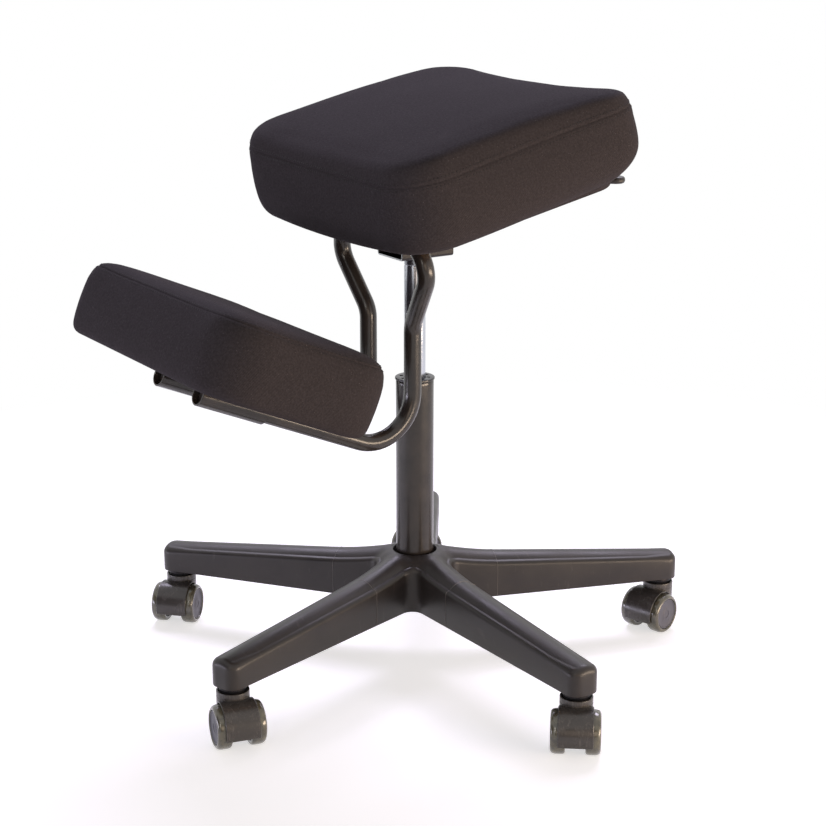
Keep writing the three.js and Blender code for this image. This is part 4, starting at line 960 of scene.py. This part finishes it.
def channel_sheet():
    """The channel's section, folded at its two lower corners and cut to the seat's slope on top."""
    outside = fold_inside + channel_wall
    centre_x, centre_z = channel_half - outside, tube_neck + outside
    outer, inner = [(channel_half, None)], [(channel_half - channel_wall, None)]
    for angle in np.radians(np.linspace(0, 90, 7)):
        for half, radius in ((outer, outside), (inner, fold_inside)):
            half.append((centre_x + radius * math.cos(angle), centre_z - radius * math.sin(angle)))
    outline = outer + [(-x, z) for x, z in outer[::-1]] + [(-x, z) for x, z in inner] + inner[::-1]
    rings = []
    for y in (channel_front, channel_back):
        roof = seat_plane + y * math.tan(seat_tilt) - seat_gap / math.cos(seat_tilt)
        rings.append([(x, y, roof if z is None else z) for x, z in outline])
    return lofted(rings, capped=True)


def cross_bar_turned(profile, sides, centre):
    """A body turned about an axis that runs along X through a centre."""
    return moved(turned(profile, sides), Matrix.Translation(centre) @ Matrix.Rotation(math.pi / 2, 4, "Y"))


channel = make_piece("mechanism_channel_folded", [channel_sheet()])
pin_hole = lever_pin_radius + 0.3
socket_drill = [(0, tube_neck - 6), (socket_hole, tube_neck - 6), (socket_hole, tube_neck + 6),
                (0, tube_neck + 6)]
pin_drill = [(0, -60), (pin_hole, -60), (pin_hole, 60), (0, 60)]
carve(channel, [turned(socket_drill, 64), cross_bar_turned(pin_drill, 24, lever_pivot)])
soft_edges(channel, 0.5)

# The folded sheet takes a thinner powder coat than the tubes, less glossy. Its colour is drawn darker
# than the tubes' coat, as painted shade that holds down the low lamp's light on its side.
shaded_thin_coat, tree, shader, place = material("thin_powder_coat_painted_shade", IOR=1.52, Specular_IOR_Level=0.22)
surface(tree, shader, layered(tree, "#1b191c", (speckle(tree, place, 6, 3), "#2b282b")),
        grain=(speckle(tree, place, 3, 1), 0.3, 0.00015), gloss=(speckle(tree, place, 4), 0.34, 0.46))
channel.data.materials.append(shaded_thin_coat)
channel.data.materials.append(zinc_steel)
for face in channel.data.polygons:
    face.material_index = int(abs(face.normal.y) > 0.95)
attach(channel, "lift")
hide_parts("mechanism_channel")

# Height lever
# A bent steel rod that rocks on a cross pin above the gas lift's valve. Its hidden end presses the
# valve, and a moulded paddle is pushed over the end that the sitter lifts.
lever_rod_radius, lever_hub_radius, lever_hub_reach = 4.0, 7.0, 10.0
lever_tip, lever_bend_back, lever_bend = -8.0, 92.0, 24.0
paddle_spot = Vector((121.0, 222.0, 643.0))
paddle_length, paddle_half_width, paddle_thickness = 36.0, 13.0, 8.5
lever_line = bent_line(
    [(0, lever_tip, lever_pivot.z), (0, lever_bend_back, lever_pivot.z), paddle_spot], [lever_bend], 16)
half_lever_hub = [(lever_hub_radius, lever_hub_reach - 0.6), (lever_hub_radius - 0.6, lever_hub_reach),
                  (0, lever_hub_reach)]
lever_hub = [(radius, -x) for radius, x in half_lever_hub[::-1]] + half_lever_hub
lever_rod = make_piece("height_lever_rod", [
    swept(lever_line, lever_rod_radius, 28, cut_end_round), cross_bar_turned(lever_hub, 40, lever_pivot)])
lever_rod.data.materials.append(blackened_steel)
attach(lever_rod, "lever")
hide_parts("lever_rod")

pin_reach = channel_half + seat_gap
pin_end = pin_reach + pin_head_thickness
half_pin = [
    (lever_pin_radius, pin_reach), (pin_head_radius - 0.3, pin_reach), (pin_head_radius, pin_reach + 0.4),
    (pin_head_radius - 0.5, pin_end - 0.7), (pin_head_radius - 1.8, pin_end - 0.1), (0, pin_end)]
pin_profile = [(radius, -x) for radius, x in half_pin[::-1]] + half_pin
lever_pin = make_piece("height_lever_pin", [cross_bar_turned(pin_profile, 32, lever_pivot)])
lever_pin.data.materials.append(zinc_steel)
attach(lever_pin, "lift")
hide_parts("lever_pin")


def rounded_rectangle(half_x, half_y, corner, steps):
    """An outline with round corners, anticlockwise from the right-hand side."""
    outline = []
    for quarter, (sign_x, sign_y) in enumerate(((1, 1), (-1, 1), (-1, -1), (1, -1))):
        for angle in (quarter + np.linspace(0, 1, steps)) * math.pi / 2:
            outline.append((sign_x * (half_x - corner) + corner * math.cos(angle),
                            sign_y * (half_y - corner) + corner * math.sin(angle)))
    return outline


paddle_edge, paddle_rim_inset, paddle_swell = 3.2, 8.0, 0.3
neck_radius, neck_out, neck_in, neck_round = 5.6, 7, 8, 1.4


def lever_paddle_sheet():
    """A flat grip, domed on both faces, with a thicker neck where the rod goes in."""
    rings = []
    for angle in np.radians(np.linspace(-90, 90, 17)):
        inset = paddle_edge * (1 - math.cos(angle)) + (paddle_rim_inset if abs(angle) > 1.5 else 0.0)
        corner = max(paddle_half_width * 0.95 - inset, 1.0)
        plan = rounded_rectangle(paddle_length / 2 - inset, paddle_half_width - inset, corner, 9)
        rings.append([(x, y, (paddle_thickness / 2) * math.sin(angle)) for x, y in plan])
    count = len(rings[0])
    pole = paddle_thickness / 2 + paddle_swell
    rings = [[(0.0, 0.0, -pole)] * count] + rings + [[(0.0, 0.0, pole)] * count]
    neck_line = [Vector((-paddle_length / 2 - neck_out, 0, 0)), Vector((-paddle_length / 2 + neck_in, 0, 0))]
    return [lofted(rings), swept(neck_line, neck_radius, 28, neck_round)]


paddle_heading = math.atan2(paddle_spot.y - lever_bend_back, paddle_spot.x)
paddle = make_piece("height_lever_paddle", lever_paddle_sheet(), crease=50,
                    turn=Matrix.Translation(paddle_spot) @ Matrix.Rotation(paddle_heading, 4, "Z"))
paddle.data.materials.append(nylon)
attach(paddle, "lever")
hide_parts("lever_paddle")

# Plates and screws
# Steel plates join the boards to the frame: the seat's is welded to the channel, and the knee pad's
# to its two sleeves. Pan-head screws with a cross recess go up through them into the plywood.
seat_group = Matrix.Translation((0, 0, seat_plane)) @ Matrix.Rotation(seat_tilt, 4, "X")
knee_group = Matrix.Translation(pad_centre) @ Matrix.Rotation(-knee_tilt, 4, "X")
sleeve_bore, sleeve_outer, sleeve_length = 11.6, 14.0, 95.0
knee_pad_bottom = sleeve_outer + seat_gap
screw_head_radius, screw_head_height = 5.6, 3.0
for node in ("seat_plate", "knee_plate"):
    soft_edges(refinished(node, powder_coat), 0.5)
soft_edges(refinished("clamp_screw", zinc_steel), 0.6)
recess_length, recess_width, recess_depth = 5.4, 1.0, 3.2


def screw_heads(name, places, body, group):
    """Pan-head screws seen from below, their heads under the places given in a group's own frame."""
    radius, height = screw_head_radius, screw_head_height
    head = [(0, 0), (radius - 0.3, 0), (radius, -0.3), (radius - 0.1, -0.9)]
    for angle in np.radians(np.linspace(20, 90, 7)):
        head.append((0.6 + (radius - 0.8) * math.cos(angle), -0.9 - (height - 0.9) * math.sin(angle)))
    head.append((0, -height))
    sheets, recesses = [], []
    for number, (x, y, z) in enumerate(places):
        spot = Matrix.Translation((x, y, z)) @ Matrix.Rotation(0.4 + 1.1 * number, 4, "Z")
        sheets.append(moved(turned(head, 32), group @ spot))
        for quarter in (0, math.pi / 2):
            slot_box = block((recess_length, recess_width, recess_depth), (0, 0, -height))
            recesses.append(moved(slot_box, group @ spot @ Matrix.Rotation(quarter, 4, "Z")))
    screws = make_piece(name, sheets)
    carve(screws, recesses[0::2])
    carve(screws, recesses[1::2])
    soft_edges(screws, 0.15)
    screws.data.materials.append(zinc_steel)
    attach(screws, body)


seat_screw_places = [(x, y, -seat_gap) for x in (-69, 69) for y in (-50, 109)]
knee_screw_places = [(x, y, knee_pad_bottom) for x in (-72, 72) for y in (-36, 36)]
screw_heads("seat_plate_screws", seat_screw_places, "lift", seat_group)
screw_heads("knee_plate_screws", knee_screw_places, "knee_carrier", knee_group)

half_sleeve = [
    (sleeve_bore, 0.7), (sleeve_bore + 0.5, 0), (sleeve_outer - 0.7, 0), (sleeve_outer, 0.7),
    (sleeve_outer, 3)]
sleeve_profile = half_sleeve + [(radius, sleeve_length - rise) for radius, rise in half_sleeve[::-1]]
for side, sleeve_name in ((1, "knee_sleeve_left"), (-1, "knee_sleeve_right")):
    lying = (Matrix.Translation((side * half_spacing, sleeve_length - sleeve_front, 0))
             @ Matrix.Rotation(math.pi / 2, 4, "X"))
    knee_sleeve = make_piece(
        sleeve_name + "_turned", [turned(sleeve_profile, 64, closed=True)], turn=knee_group @ lying)
    knee_sleeve.data.materials.append(powder_coat)
    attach(knee_sleeve, "knee_carrier")
    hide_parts(sleeve_name)

# Boards
# Beech plywood boards carry the foam of both pads. Their faces are rotary-cut veneer, and they lie
# in the pads' undersides, where the hems leave them bare. The plates are screwed to them.
beech, tree, shader, place = material("rotary_cut_beech_plywood", IOR=1.5)
figure = speckle(tree, place, 9, 4, (1, 0.12, 1))
figure_bands = speckle(tree, place, 9, 4, (1, 0.12, 1), spread=(0.35, 0.65, 1))
flecks = speckle(tree, place, 2.2, 2, (1, 0.25, 1), spread=(0.6, 0.75, 0.5))
surface(tree, shader, layered(tree, "#b78c5c", (figure_bands, "#cfa878"), (flecks, "#86603a")),
        grain=(figure, 0.25, 0.0002), gloss=(figure, 0.55, 0.7))
for node in ("seat_board", "knee_board"):
    soft_edges(refinished(node, beech), 0.8)
# Pads
# Both pads are moulded polyurethane foam on a board, under a sewn cover of black woven polyester:
# a top panel and a side band meet in a lapped seam, and the band is stapled under the board.
board_lift, board_thickness, board_inset, board_corner = 3.0, 12.0, 40.0, 34.0
hem_reach, hem_thickness = 19.0, 0.9
room_inset, room_gap, hem_gap = 0.4, 0.3, 0.1
swell_start = 0.745
seam_groove, seam_groove_half, stitch_offset = 1.0, 1.4, 4.2
plump_cap, plump_share = 6.0, 0.45
# Each step of the hem: how far in and how far up, as shares, and how far it follows the fall.
hem_curve = [
    (0.95, 0.014, 0), (0.86, 0.03, 0.3), (0.5, 0.03, 0.8), (0.2, 0.09, 1), (0.05, 0.2, 0.85), (0, 0.38, 0.4),
    (0, 0.58, 0.1), (0.02, 0.71, 0)]
seat_form = {
    "width": 438, "depth": 370, "thickness": 118, "corner": 66, "hem_round": 42, "roll_round": 27,
    "crown": 10, "side_swell": 10, "rear_dip": 12, "front_fall": 7, "hem_sag": 6, "hem_lift": 15,
    "corner_lift": 8, "rear_tuck": 10, "sag_at_corners": False, "seam_share": 0.79, "seam_climb": (9, 12),
    "roll_curve": [(0.05, 0.79), (0.13, 0.88), (0.32, 0.962), (0.62, 0.995)],
}
knee_form = {
    "width": 444, "depth": 245, "thickness": 96, "corner": 62, "hem_round": 26, "roll_round": 30,
    "crown": 1, "side_swell": 0, "rear_dip": 1, "front_fall": 0, "hem_sag": 6, "hem_lift": 0,
    "corner_lift": 0, "rear_tuck": 0, "sag_at_corners": True, "seam_share": 0.93, "seam_climb": (0, 0),
    "roll_curve": [(0.04, 0.75), (0.12, 0.85), (0.3, 0.937), (0.62, 0.986)],
}
seat_set_back, knee_set_back = 51.3, 2.0
pull_in = 0.5
curve_steps, crown_steps = 60, 44
level_gaps = [(4, 0.55), (8, 1.1), (math.inf, 3.6)]


def pad_outline(half_x, half_y, corner, pull, arc_steps=22, side_steps=34):
    """A pad's plan at one level: round corners, and sides drawn in a little between them."""
    outline = []
    corners = rounded_rectangle(half_x, half_y, corner, arc_steps + 1)
    for quarter in range(4):
        arc = corners[quarter * (arc_steps + 1):(quarter + 1) * (arc_steps + 1)]
        after = corners[((quarter + 1) % 4) * (arc_steps + 1)]
        outline += arc
        for share in np.arange(1, side_steps) / side_steps:
            x = arc[-1][0] + (after[0] - arc[-1][0]) * share
            y = arc[-1][1] + (after[1] - arc[-1][1]) * share
            drawn = pull * math.sin(math.pi * share)
            if quarter % 2 == 0:
                y -= math.copysign(drawn, y)
            else:
                x -= math.copysign(drawn, x)
            outline.append((x, y))
    return np.array(outline)


def smooth_through(points, steps):
    """A smooth curve through points, with equally many steps between each two."""
    points = np.array(points, float)
    held = np.vstack([2 * points[0] - points[1], points, 2 * points[-1] - points[-2]])
    share = np.linspace(0, 1, steps, endpoint=False)[:, None]
    runs = []
    for a, b, c, d in zip(held, held[1:], held[2:], held[3:]):
        runs.append(0.5 * (2 * b + (c - a) * share + (2 * a - 5 * b + 4 * c - d) * share ** 2
                           + (3 * b - a - 3 * c + d) * share ** 3))
    return np.vstack(runs + [points[-1:]])


def pad_place(form, x, y):
    """A place on the pad as squared shares of its half width and half depth."""
    return (x / form["width"] * 2) ** 2, (y / form["depth"] * 2) ** 2


def pad_swell(form, x, y, height):
    """How far the foam's top stands above its corners. It is fullest along both sides, and dips
    towards the middle of the rear edge."""
    across, along = pad_place(form, x, y)
    rear = np.maximum(0, y / form["depth"] * 2) ** 2
    front = np.maximum(0, -y / form["depth"] * 2) ** 5
    full = (form["side_swell"] * (1 - along) * across + form["crown"] * (1 - along) * (1 - across)
            - (form["rear_dip"] * rear + form["front_fall"] * front) * (1 - across))
    return full * np.clip((height / form["thickness"] - swell_start) / (1 - swell_start), 0, 1)


def pad_fall(form, x, y):
    """How far the hem is pulled up at the rear and sags elsewhere below the board."""
    across, along = pad_place(form, x, y)
    front, rear = (1 - y / form["depth"] * 2) / 2, (1 + y / form["depth"] * 2) / 2
    slack = np.maximum(front, across ** 2) if form["sag_at_corners"] else front * (1 - across)
    return (form["hem_lift"] * rear + form["rear_tuck"] * rear ** 4 * (1 - across)
            + form["corner_lift"] * across * along - form["hem_sag"] * slack)


def pad_ring(form, inset, height, follow=0.0):
    half_x, half_y = form["width"] / 2 - inset, form["depth"] / 2 - inset
    corner = max(form["corner"] - inset * 0.8, form["corner"] / 3)
    plan = pad_outline(half_x, half_y, corner, pull_in)
    x, y = plan[:, 0], plan[:, 1]
    return np.column_stack([x, y, height + pad_swell(form, x, y, height) + pad_fall(form, x, y) * follow])


def board_ring(form, inset, height):
    """A ring that follows the board's outline, so many millimetres inside the pad's."""
    corner = max(board_corner - (inset - board_inset) * 0.6, 8.0)
    plan = pad_outline(form["width"] / 2 - inset, form["depth"] / 2 - inset, corner, 0.0)
    return np.column_stack([plan, np.full(len(plan), height)])


def walked_along(line):
    """How far each point of a line is from its start, measured along the line."""
    return np.concatenate([[0], np.cumsum(np.linalg.norm(np.diff(line, axis=0), axis=1))])


def side_profile(form):
    """The pad's side from the hem up over the roll, as inset, height and follow, closer together
    near the seam. Also gives each level's distance from the seam, measured along the skin."""
    tall = form["thickness"]
    hem = [(inset * form["hem_round"], height * tall, follow) for inset, height, follow in hem_curve]
    roll = [(inset * form["roll_round"], height * tall, 0.0) for inset, height in form["roll_curve"]]
    curve = smooth_through(hem + roll + [(form["roll_round"], tall, 0.0)], curve_steps)
    walked = walked_along(curve[:, :2])
    seam_at = np.interp(form["seam_share"] * tall, curve[:, 1], walked)
    stations = [0.0]
    while stations[-1] < walked[-1] - 1.5:
        gap = max(seam_at - stations[-1], stations[-1] - seam_at - math.hypot(*form["seam_climb"]))
        stations.append(stations[-1] + next(step for reach, step in level_gaps if gap < reach))
    stations[-1] = walked[-1]
    levels = np.column_stack([np.interp(stations, walked, curve[:, axis]) for axis in range(3)])
    return levels, np.array(stations) - seam_at


def crown_rings(form, rim):
    """Rings from the roll to the middle of the top, drawn in towards the middle."""
    rings = []
    for share in np.linspace(1, 0, crown_steps + 1)[1:]:
        x, y = rim[:, 0] * share, rim[:, 1] * share
        rings.append(np.column_stack([x, y, form["thickness"] + pad_swell(form, x, y, form["thickness"])]))
    return rings


def mesh_normals(points, faces):
    """Each point's outward direction, from the faces round it. Points that share a place agree."""
    mesh = bpy.data.meshes.new("scratch_skin")
    mesh.from_pydata(points.tolist(), [], faces)
    mesh.update()
    normals = np.zeros(len(points) * 3)
    mesh.vertices.foreach_get("normal", normals)
    bpy.data.meshes.remove(mesh)
    return normals.reshape(-1, 3)

cloth_start, cloth_voxel, cloth_frames, stapled_height = 2.0, 0.006, 20, 9
carry_points, carry_softness = 40, 12.0


def vertex_places(mesh):
    """A mesh's points in millimetres, one row each."""
    places = np.zeros(len(mesh.vertices) * 3)
    mesh.vertices.foreach_get("co", places)
    return places.reshape(-1, 3) * 1000


def plumped(points, faces, count):
    """Runs cloth on a remeshed copy of the skin, held at its hem and blown up from inside, and
    returns where its points started and how far each went, in millimetres."""
    skin = bpy.data.meshes.new("plump_skin")
    shrunk = points - cloth_start * mesh_normals(points, faces)
    skin.from_pydata((shrunk / 1000).tolist(), [], faces + [tuple(range(count))[::-1]])
    work = bmesh.new()
    work.from_mesh(skin)
    bmesh.ops.remove_doubles(work, verts=work.verts, dist=0.00001)
    bmesh.ops.recalc_face_normals(work, faces=work.faces)
    work.to_mesh(skin)
    work.free()
    blown = bpy.data.objects.new("plump_skin", skin)
    bpy.context.scene.collection.objects.link(blown)
    remesh = blown.modifiers.new("remesh", "REMESH")
    remesh.mode = "VOXEL"
    remesh.voxel_size = cloth_voxel
    bpy.context.view_layer.update()
    blown.data = bpy.data.meshes.new_from_object(blown.evaluated_get(bpy.context.evaluated_depsgraph_get()))
    blown.modifiers.clear()
    start = vertex_places(blown.data)
    held = blown.vertex_groups.new(name="stapled")
    low_points = np.flatnonzero(start[:, 2] < start[:, 2].min() + stapled_height)
    held.add([int(point) for point in low_points], 1.0, "REPLACE")
    cloth = blown.modifiers.new("cloth", "CLOTH")
    cloth.settings.quality = 6
    cloth.settings.mass = 0.35
    cloth.settings.tension_stiffness = 18
    cloth.settings.compression_stiffness = 18
    cloth.settings.shear_stiffness = 8
    cloth.settings.bending_stiffness = 1.2
    cloth.settings.use_pressure = True
    cloth.settings.uniform_pressure_force = 3
    cloth.settings.effector_weights.gravity = 0
    cloth.settings.vertex_group_mass = "stapled"
    cloth.collision_settings.use_collision = False
    cloth.point_cache.frame_start = 1
    cloth.point_cache.frame_end = cloth_frames
    for step in range(1, cloth_frames + 1):
        bpy.context.scene.frame_set(step)
    shaped = blown.evaluated_get(bpy.context.evaluated_depsgraph_get()).to_mesh()
    moves = vertex_places(shaped) - start
    bpy.context.scene.frame_set(1)
    bpy.data.objects.remove(blown)
    length = np.linalg.norm(moves, axis=1)
    moves *= np.minimum(1, plump_cap / np.maximum(length, 1e-6))[:, None]
    return start, moves


def carried(points, start, moves):
    """The simulated movement at other points, averaged over the nearest simulated ones."""
    tree = KDTree(len(start))
    for index, place in enumerate(start):
        tree.insert(place, index)
    tree.balance()
    found = np.zeros_like(points)
    for row, point in enumerate(points):
        nearest = tree.find_n(point, carry_points)
        weights = np.array([1 / (distance + carry_softness) for _, _, distance in nearest])
        found[row] = (moves[[index for _, index, _ in nearest]] * weights[:, None]).sum(0) / weights.sum()
    return found


# The seam gathers the cloth a little, so fine puckers run into it and fade 12 mm away. Over the
# rest the foam's own unevenness shows as broad low waves.
pucker_depth, pucker_reach, puckers_round, pucker_drift = 0.5, 9.0, 120, 0.03
wave_depth, wave_width, wave_height = 0.9, 95.0, 60.0
plump_from, waves_from = 16.0, 20.0
far_from_seam = 99.0


def padded_skin(form, seed):
    """The cover's outside: rings of points from the hem to the middle of the top, plumped by the
    simulation and drawn in at the seam, with each point's distance from the seam and normal."""
    levels, from_seam = side_profile(form)
    rings = [pad_ring(form, *level) for level in levels]
    rings += crown_rings(form, rings[-1])
    rows, count = len(rings), len(rings[0])
    points, faces = lofted(rings)
    normals = mesh_normals(points, faces)
    normals[-count:] = (0, 0, 1)
    outward = (carried(points, *plumped(points, faces, count)) * normals).sum(1)
    outward -= np.median(outward)
    points += normals * (outward * plump_share * np.clip(points[:, 2] / plump_from, 0, 1))[:, None]
    level = np.concatenate([from_seam, np.full(rows - len(from_seam), far_from_seam)])
    to_rear, to_right = 0.5 + rings[0][:, 1] / form["depth"], 0.5 - rings[0][:, 0] / form["width"]
    rear_climb, right_climb = form["seam_climb"]
    side = level[:, None] - np.hypot(rear_climb * to_rear ** 1.5, right_climb * to_right ** 1.3)
    gap = side.ravel()
    groove = seam_groove * np.exp(-(gap / seam_groove_half) ** 2)
    around = np.tile(np.arange(count) / count, rows)
    pucker = np.zeros(len(points))
    waves = np.zeros(len(points))
    for index, (x, y, z) in enumerate(points):
        closeness = math.exp(-(gap[index] / pucker_reach) ** 2)
        if closeness > 0.02:
            fold = noise.noise((around[index] * puckers_round, seed, gap[index] * pucker_drift))
            pucker[index] = closeness * pucker_depth * fold
        waves[index] = wave_depth * noise.noise((x / wave_width, y / wave_width, z / wave_height + seed))
    points += normals * (pucker + waves * np.clip(points[:, 2] / waves_from, 0, 1) - groove)[:, None]
    return points.reshape(rows, count, 3), side, normals.reshape(rows, count, 3)


def cover_inside(form, first_ring):
    """From the hem under the board, round its cut edge, and up into the room that the board fills."""
    sill, edge, room = board_lift - hem_thickness - hem_gap, board_inset + hem_reach, board_inset - room_inset
    board_top = board_lift + board_thickness + room_gap
    board_edge = board_ring(form, room, sill)
    middle = board_ring(form, board_inset, board_top) * np.array([0, 0, 1])
    return [
        middle,
        board_ring(form, room, board_top),
        board_ring(form, room, sill + hem_thickness),
        board_ring(form, edge, sill + hem_thickness),
        board_ring(form, edge + 0.5, sill + 0.4),
        board_ring(form, edge, sill),
        board_edge,
        first_ring * 0.3 + board_edge * 0.7,
        first_ring * 0.65 + board_edge * 0.35,
    ]


# Woven polyester, piece-dyed black: a plain weave of 0.6 mm yarns. That is too fine to show here, so
# it is drawn 2.1 mm wide. The yarns catch light at a grazing angle: their raised crowns are drawn
# lighter, a painted highlight, with painted shade between them. Wear leaves a soft mottle.
yarn_spacing = 2.1
crossing_sharpness = 4.0


def weave_height(tree, place, facing):
    """Yarns over and under each other on whichever two axes the cloth lies along."""
    axes = add(tree, "ShaderNodeSeparateXYZ", {"Vector": place}).node.outputs
    facings = add(tree, "ShaderNodeSeparateXYZ", {"Vector": facing}).node.outputs
    turns_per_metre = 2000 * math.pi / yarn_spacing
    waves = {}
    for axis in "XYZ":
        wide = add(tree, "ShaderNodeMath", {0: axes[axis], 1: turns_per_metre}, operation="MULTIPLY")
        waves[axis] = add(tree, "ShaderNodeMath", {0: wide}, operation="SINE")
    total = 0.0
    for flat, first, second in (("X", "Y", "Z"), ("Y", "X", "Z"), ("Z", "X", "Y")):
        crossed = add(tree, "ShaderNodeMath", {0: waves[first], 1: waves[second]}, operation="MULTIPLY")
        size = add(tree, "ShaderNodeMath", {0: facings[flat]}, operation="ABSOLUTE")
        share = add(tree, "ShaderNodeMath", {0: size, 1: crossing_sharpness}, operation="POWER")
        part = add(tree, "ShaderNodeMath", {0: crossed, 1: share}, operation="MULTIPLY")
        total = add(tree, "ShaderNodeMath", {0: part, 1: total}, operation="ADD")
    return total


cover_cloth, tree, shader, place = material(
    "woven_black_polyester", IOR=1.46, Roughness=0.95, Specular_IOR_Level=0.06, Sheen_Weight=0.03,
    Sheen_Roughness=0.4, Sheen_Tint=linear("#b9b2bd"))
yarns = weave_height(tree, place, add(tree, "ShaderNodeTexCoord", output="Normal"))
# Painted highlight: the raised yarns are drawn lighter and the hollows between them darker.
lit_yarn_crowns = add(tree, "ShaderNodeMapRange", {"Value": yarns, "From Min": -1, "To Min": 0.25, "To Max": 0.75})
mottle = speckle(tree, place, 2.6, 3, spread=(0.36, 0.64, 1))
slub = speckle(tree, place, 1.7, 2)
lint = speckle(tree, place, 1.7, 2, spread=(0.69, 0.77, 0.7))
slub_rise = add(tree, "ShaderNodeMath", {0: slub, 1: 0.8}, operation="MULTIPLY")
relief = add(tree, "ShaderNodeMath", {0: yarns, 1: slub_rise}, operation="ADD")
surface(tree, shader,
        layered(tree, "#2e2b2c", (mottle, "#3e3a3c"), (lit_yarn_crowns, "#3e3a3c"), (lint, "#6a6467")),
        grain=(relief, 0.5, 0.00025))

# Bonded polyester thread, dyed to match and waxed, so each stitch is a small dark glint.
thread, tree, shader, place = material(
    "bonded_polyester_thread", Roughness=0.6, IOR=1.5, Specular_IOR_Level=0.3)
surface(tree, shader, layered(tree, "#0e0c0d", (speckle(tree, place, 1.5, 2), "#1f1b1c")),
        grain=(speckle(tree, place, 0.5), 0.4, 0.0001))

# Each step of a stitch: its place as a share of the length, its height above the cloth, and its
# girth as a share of the thread's.
stitch_pitch, stitch_length, stitch_half, stitch_sides = 5.0, 3.5, 0.36, 6
stitch_form = [(-0.5, -0.75, 0.35), (-0.32, 0.1, 0.9), (0.0, 0.3, 1.0), (0.32, 0.1, 0.9), (0.5, -0.75, 0.35)]
staple_pitch, staple_half, staple_wire = 24.0, 5.0, 0.45
staple_leg, staple_bend = 0.6, 0.6


def stations_along(ring, pitch):
    """Evenly spaced places round a closed ring of points, with the direction at each."""
    closed = np.vstack([ring, ring[:1]])
    walked = walked_along(closed)
    count = int(walked[-1] // pitch)
    at = np.arange(count) * walked[-1] / count
    next_at = (at + 1.0) % walked[-1]
    places = np.column_stack([np.interp(at, walked, closed[:, axis]) for axis in range(3)])
    ahead = np.column_stack([np.interp(next_at, walked, closed[:, axis]) for axis in range(3)])
    tangents = ahead - places
    return places, tangents / np.linalg.norm(tangents, axis=1)[:, None], at / walked[-1]


def stitch_sheets(ring, outward):
    """One row of stitches: short rounded lengths of thread that dip into the cloth at both ends."""
    sheets = []
    places, tangents, shares = stations_along(ring, stitch_pitch)
    row = (shares * len(ring)).astype(int) % len(ring)
    turns = np.linspace(0, 2 * math.pi, stitch_sides, endpoint=False)
    for place, tangent, normal in zip(places, tangents, outward[row]):
        across = np.cross(normal, tangent)
        rings = []
        for share, lift, girth in stitch_form:
            middle = place + tangent * stitch_length * share + normal * lift
            rings.append([middle + (across * math.cos(turn) + normal * math.sin(turn)) * stitch_half * girth
                          for turn in turns])
        sheets.append(lofted(rings, capped=True))
    return sheets


def staple_sheets(form):
    """Wire staples that hold the turned-in hem to the board, evenly spaced round it."""
    ring = board_ring(form, board_inset + hem_reach * 0.5, board_lift - hem_thickness - hem_gap)
    sheets = []
    places, tangents, _ = stations_along(ring, staple_pitch)
    depth, crown = Vector((0, 0, staple_leg)), Vector((0, 0, -staple_wire * 0.8))
    for place, tangent in zip(places, tangents):
        middle, half = Vector(place), Vector(tangent) * staple_half
        flat = Vector(tangent) * (staple_half - staple_bend)
        line = [middle - half + depth, middle - half + crown * 0.5, middle - flat + crown,
                middle + flat + crown, middle + half + crown * 0.5, middle + half + depth]
        sheets.append(swept(line, staple_wire, 8, 0.1))
    return sheets


def make_pad(name, form, group, body, seed):
    """A whole pad: its stuffed cover, two rows of stitches and the staples under its board."""
    skin, side, outward = padded_skin(form, seed)
    pad = make_piece(name + "_cover", [lofted(cover_inside(form, skin[0]) + list(skin))], crease=60)
    stitches = []
    for offset in (-stitch_offset, stitch_offset):
        path = [[[np.interp(offset, side[:, column], sheet[:, column, axis]) for axis in range(3)]
                 for column in range(len(skin[0]))] for sheet in (skin, outward)]
        stitches += stitch_sheets(*np.array(path))
    seams = make_piece(name + "_topstitching", stitches, crease=80, weld=0.0001)
    staples = make_piece(name + "_staples", staple_sheets(form), weld=0.0001)
    to_axis = Matrix.Translation(swivel_axis)
    for piece, finish, slot in (
            (pad, cover_cloth, "fabric"), (seams, thread, "fabric"), (staples, zinc_steel, "steel")):
        # Kept in the pad's own frame, so that the weave runs square to it.
        piece.data.transform(to_axis.inverted())
        piece.matrix_world = to_axis @ Matrix.Translation(group.translation / 1000) @ group.to_3x3().to_4x4()
        piece.data.materials.append(finish)
        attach(piece, body)
    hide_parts(name)


seat_middle = seat_group @ Matrix.Translation((0, seat_set_back, 0))
knee_middle = knee_group @ Matrix.Translation((0, knee_set_back, knee_pad_bottom))
make_pad("seat_cushion", seat_form, seat_middle, "lift", seed=3.0)
make_pad("knee_cushion", knee_form, knee_middle, "knee_carrier", seed=11.0)
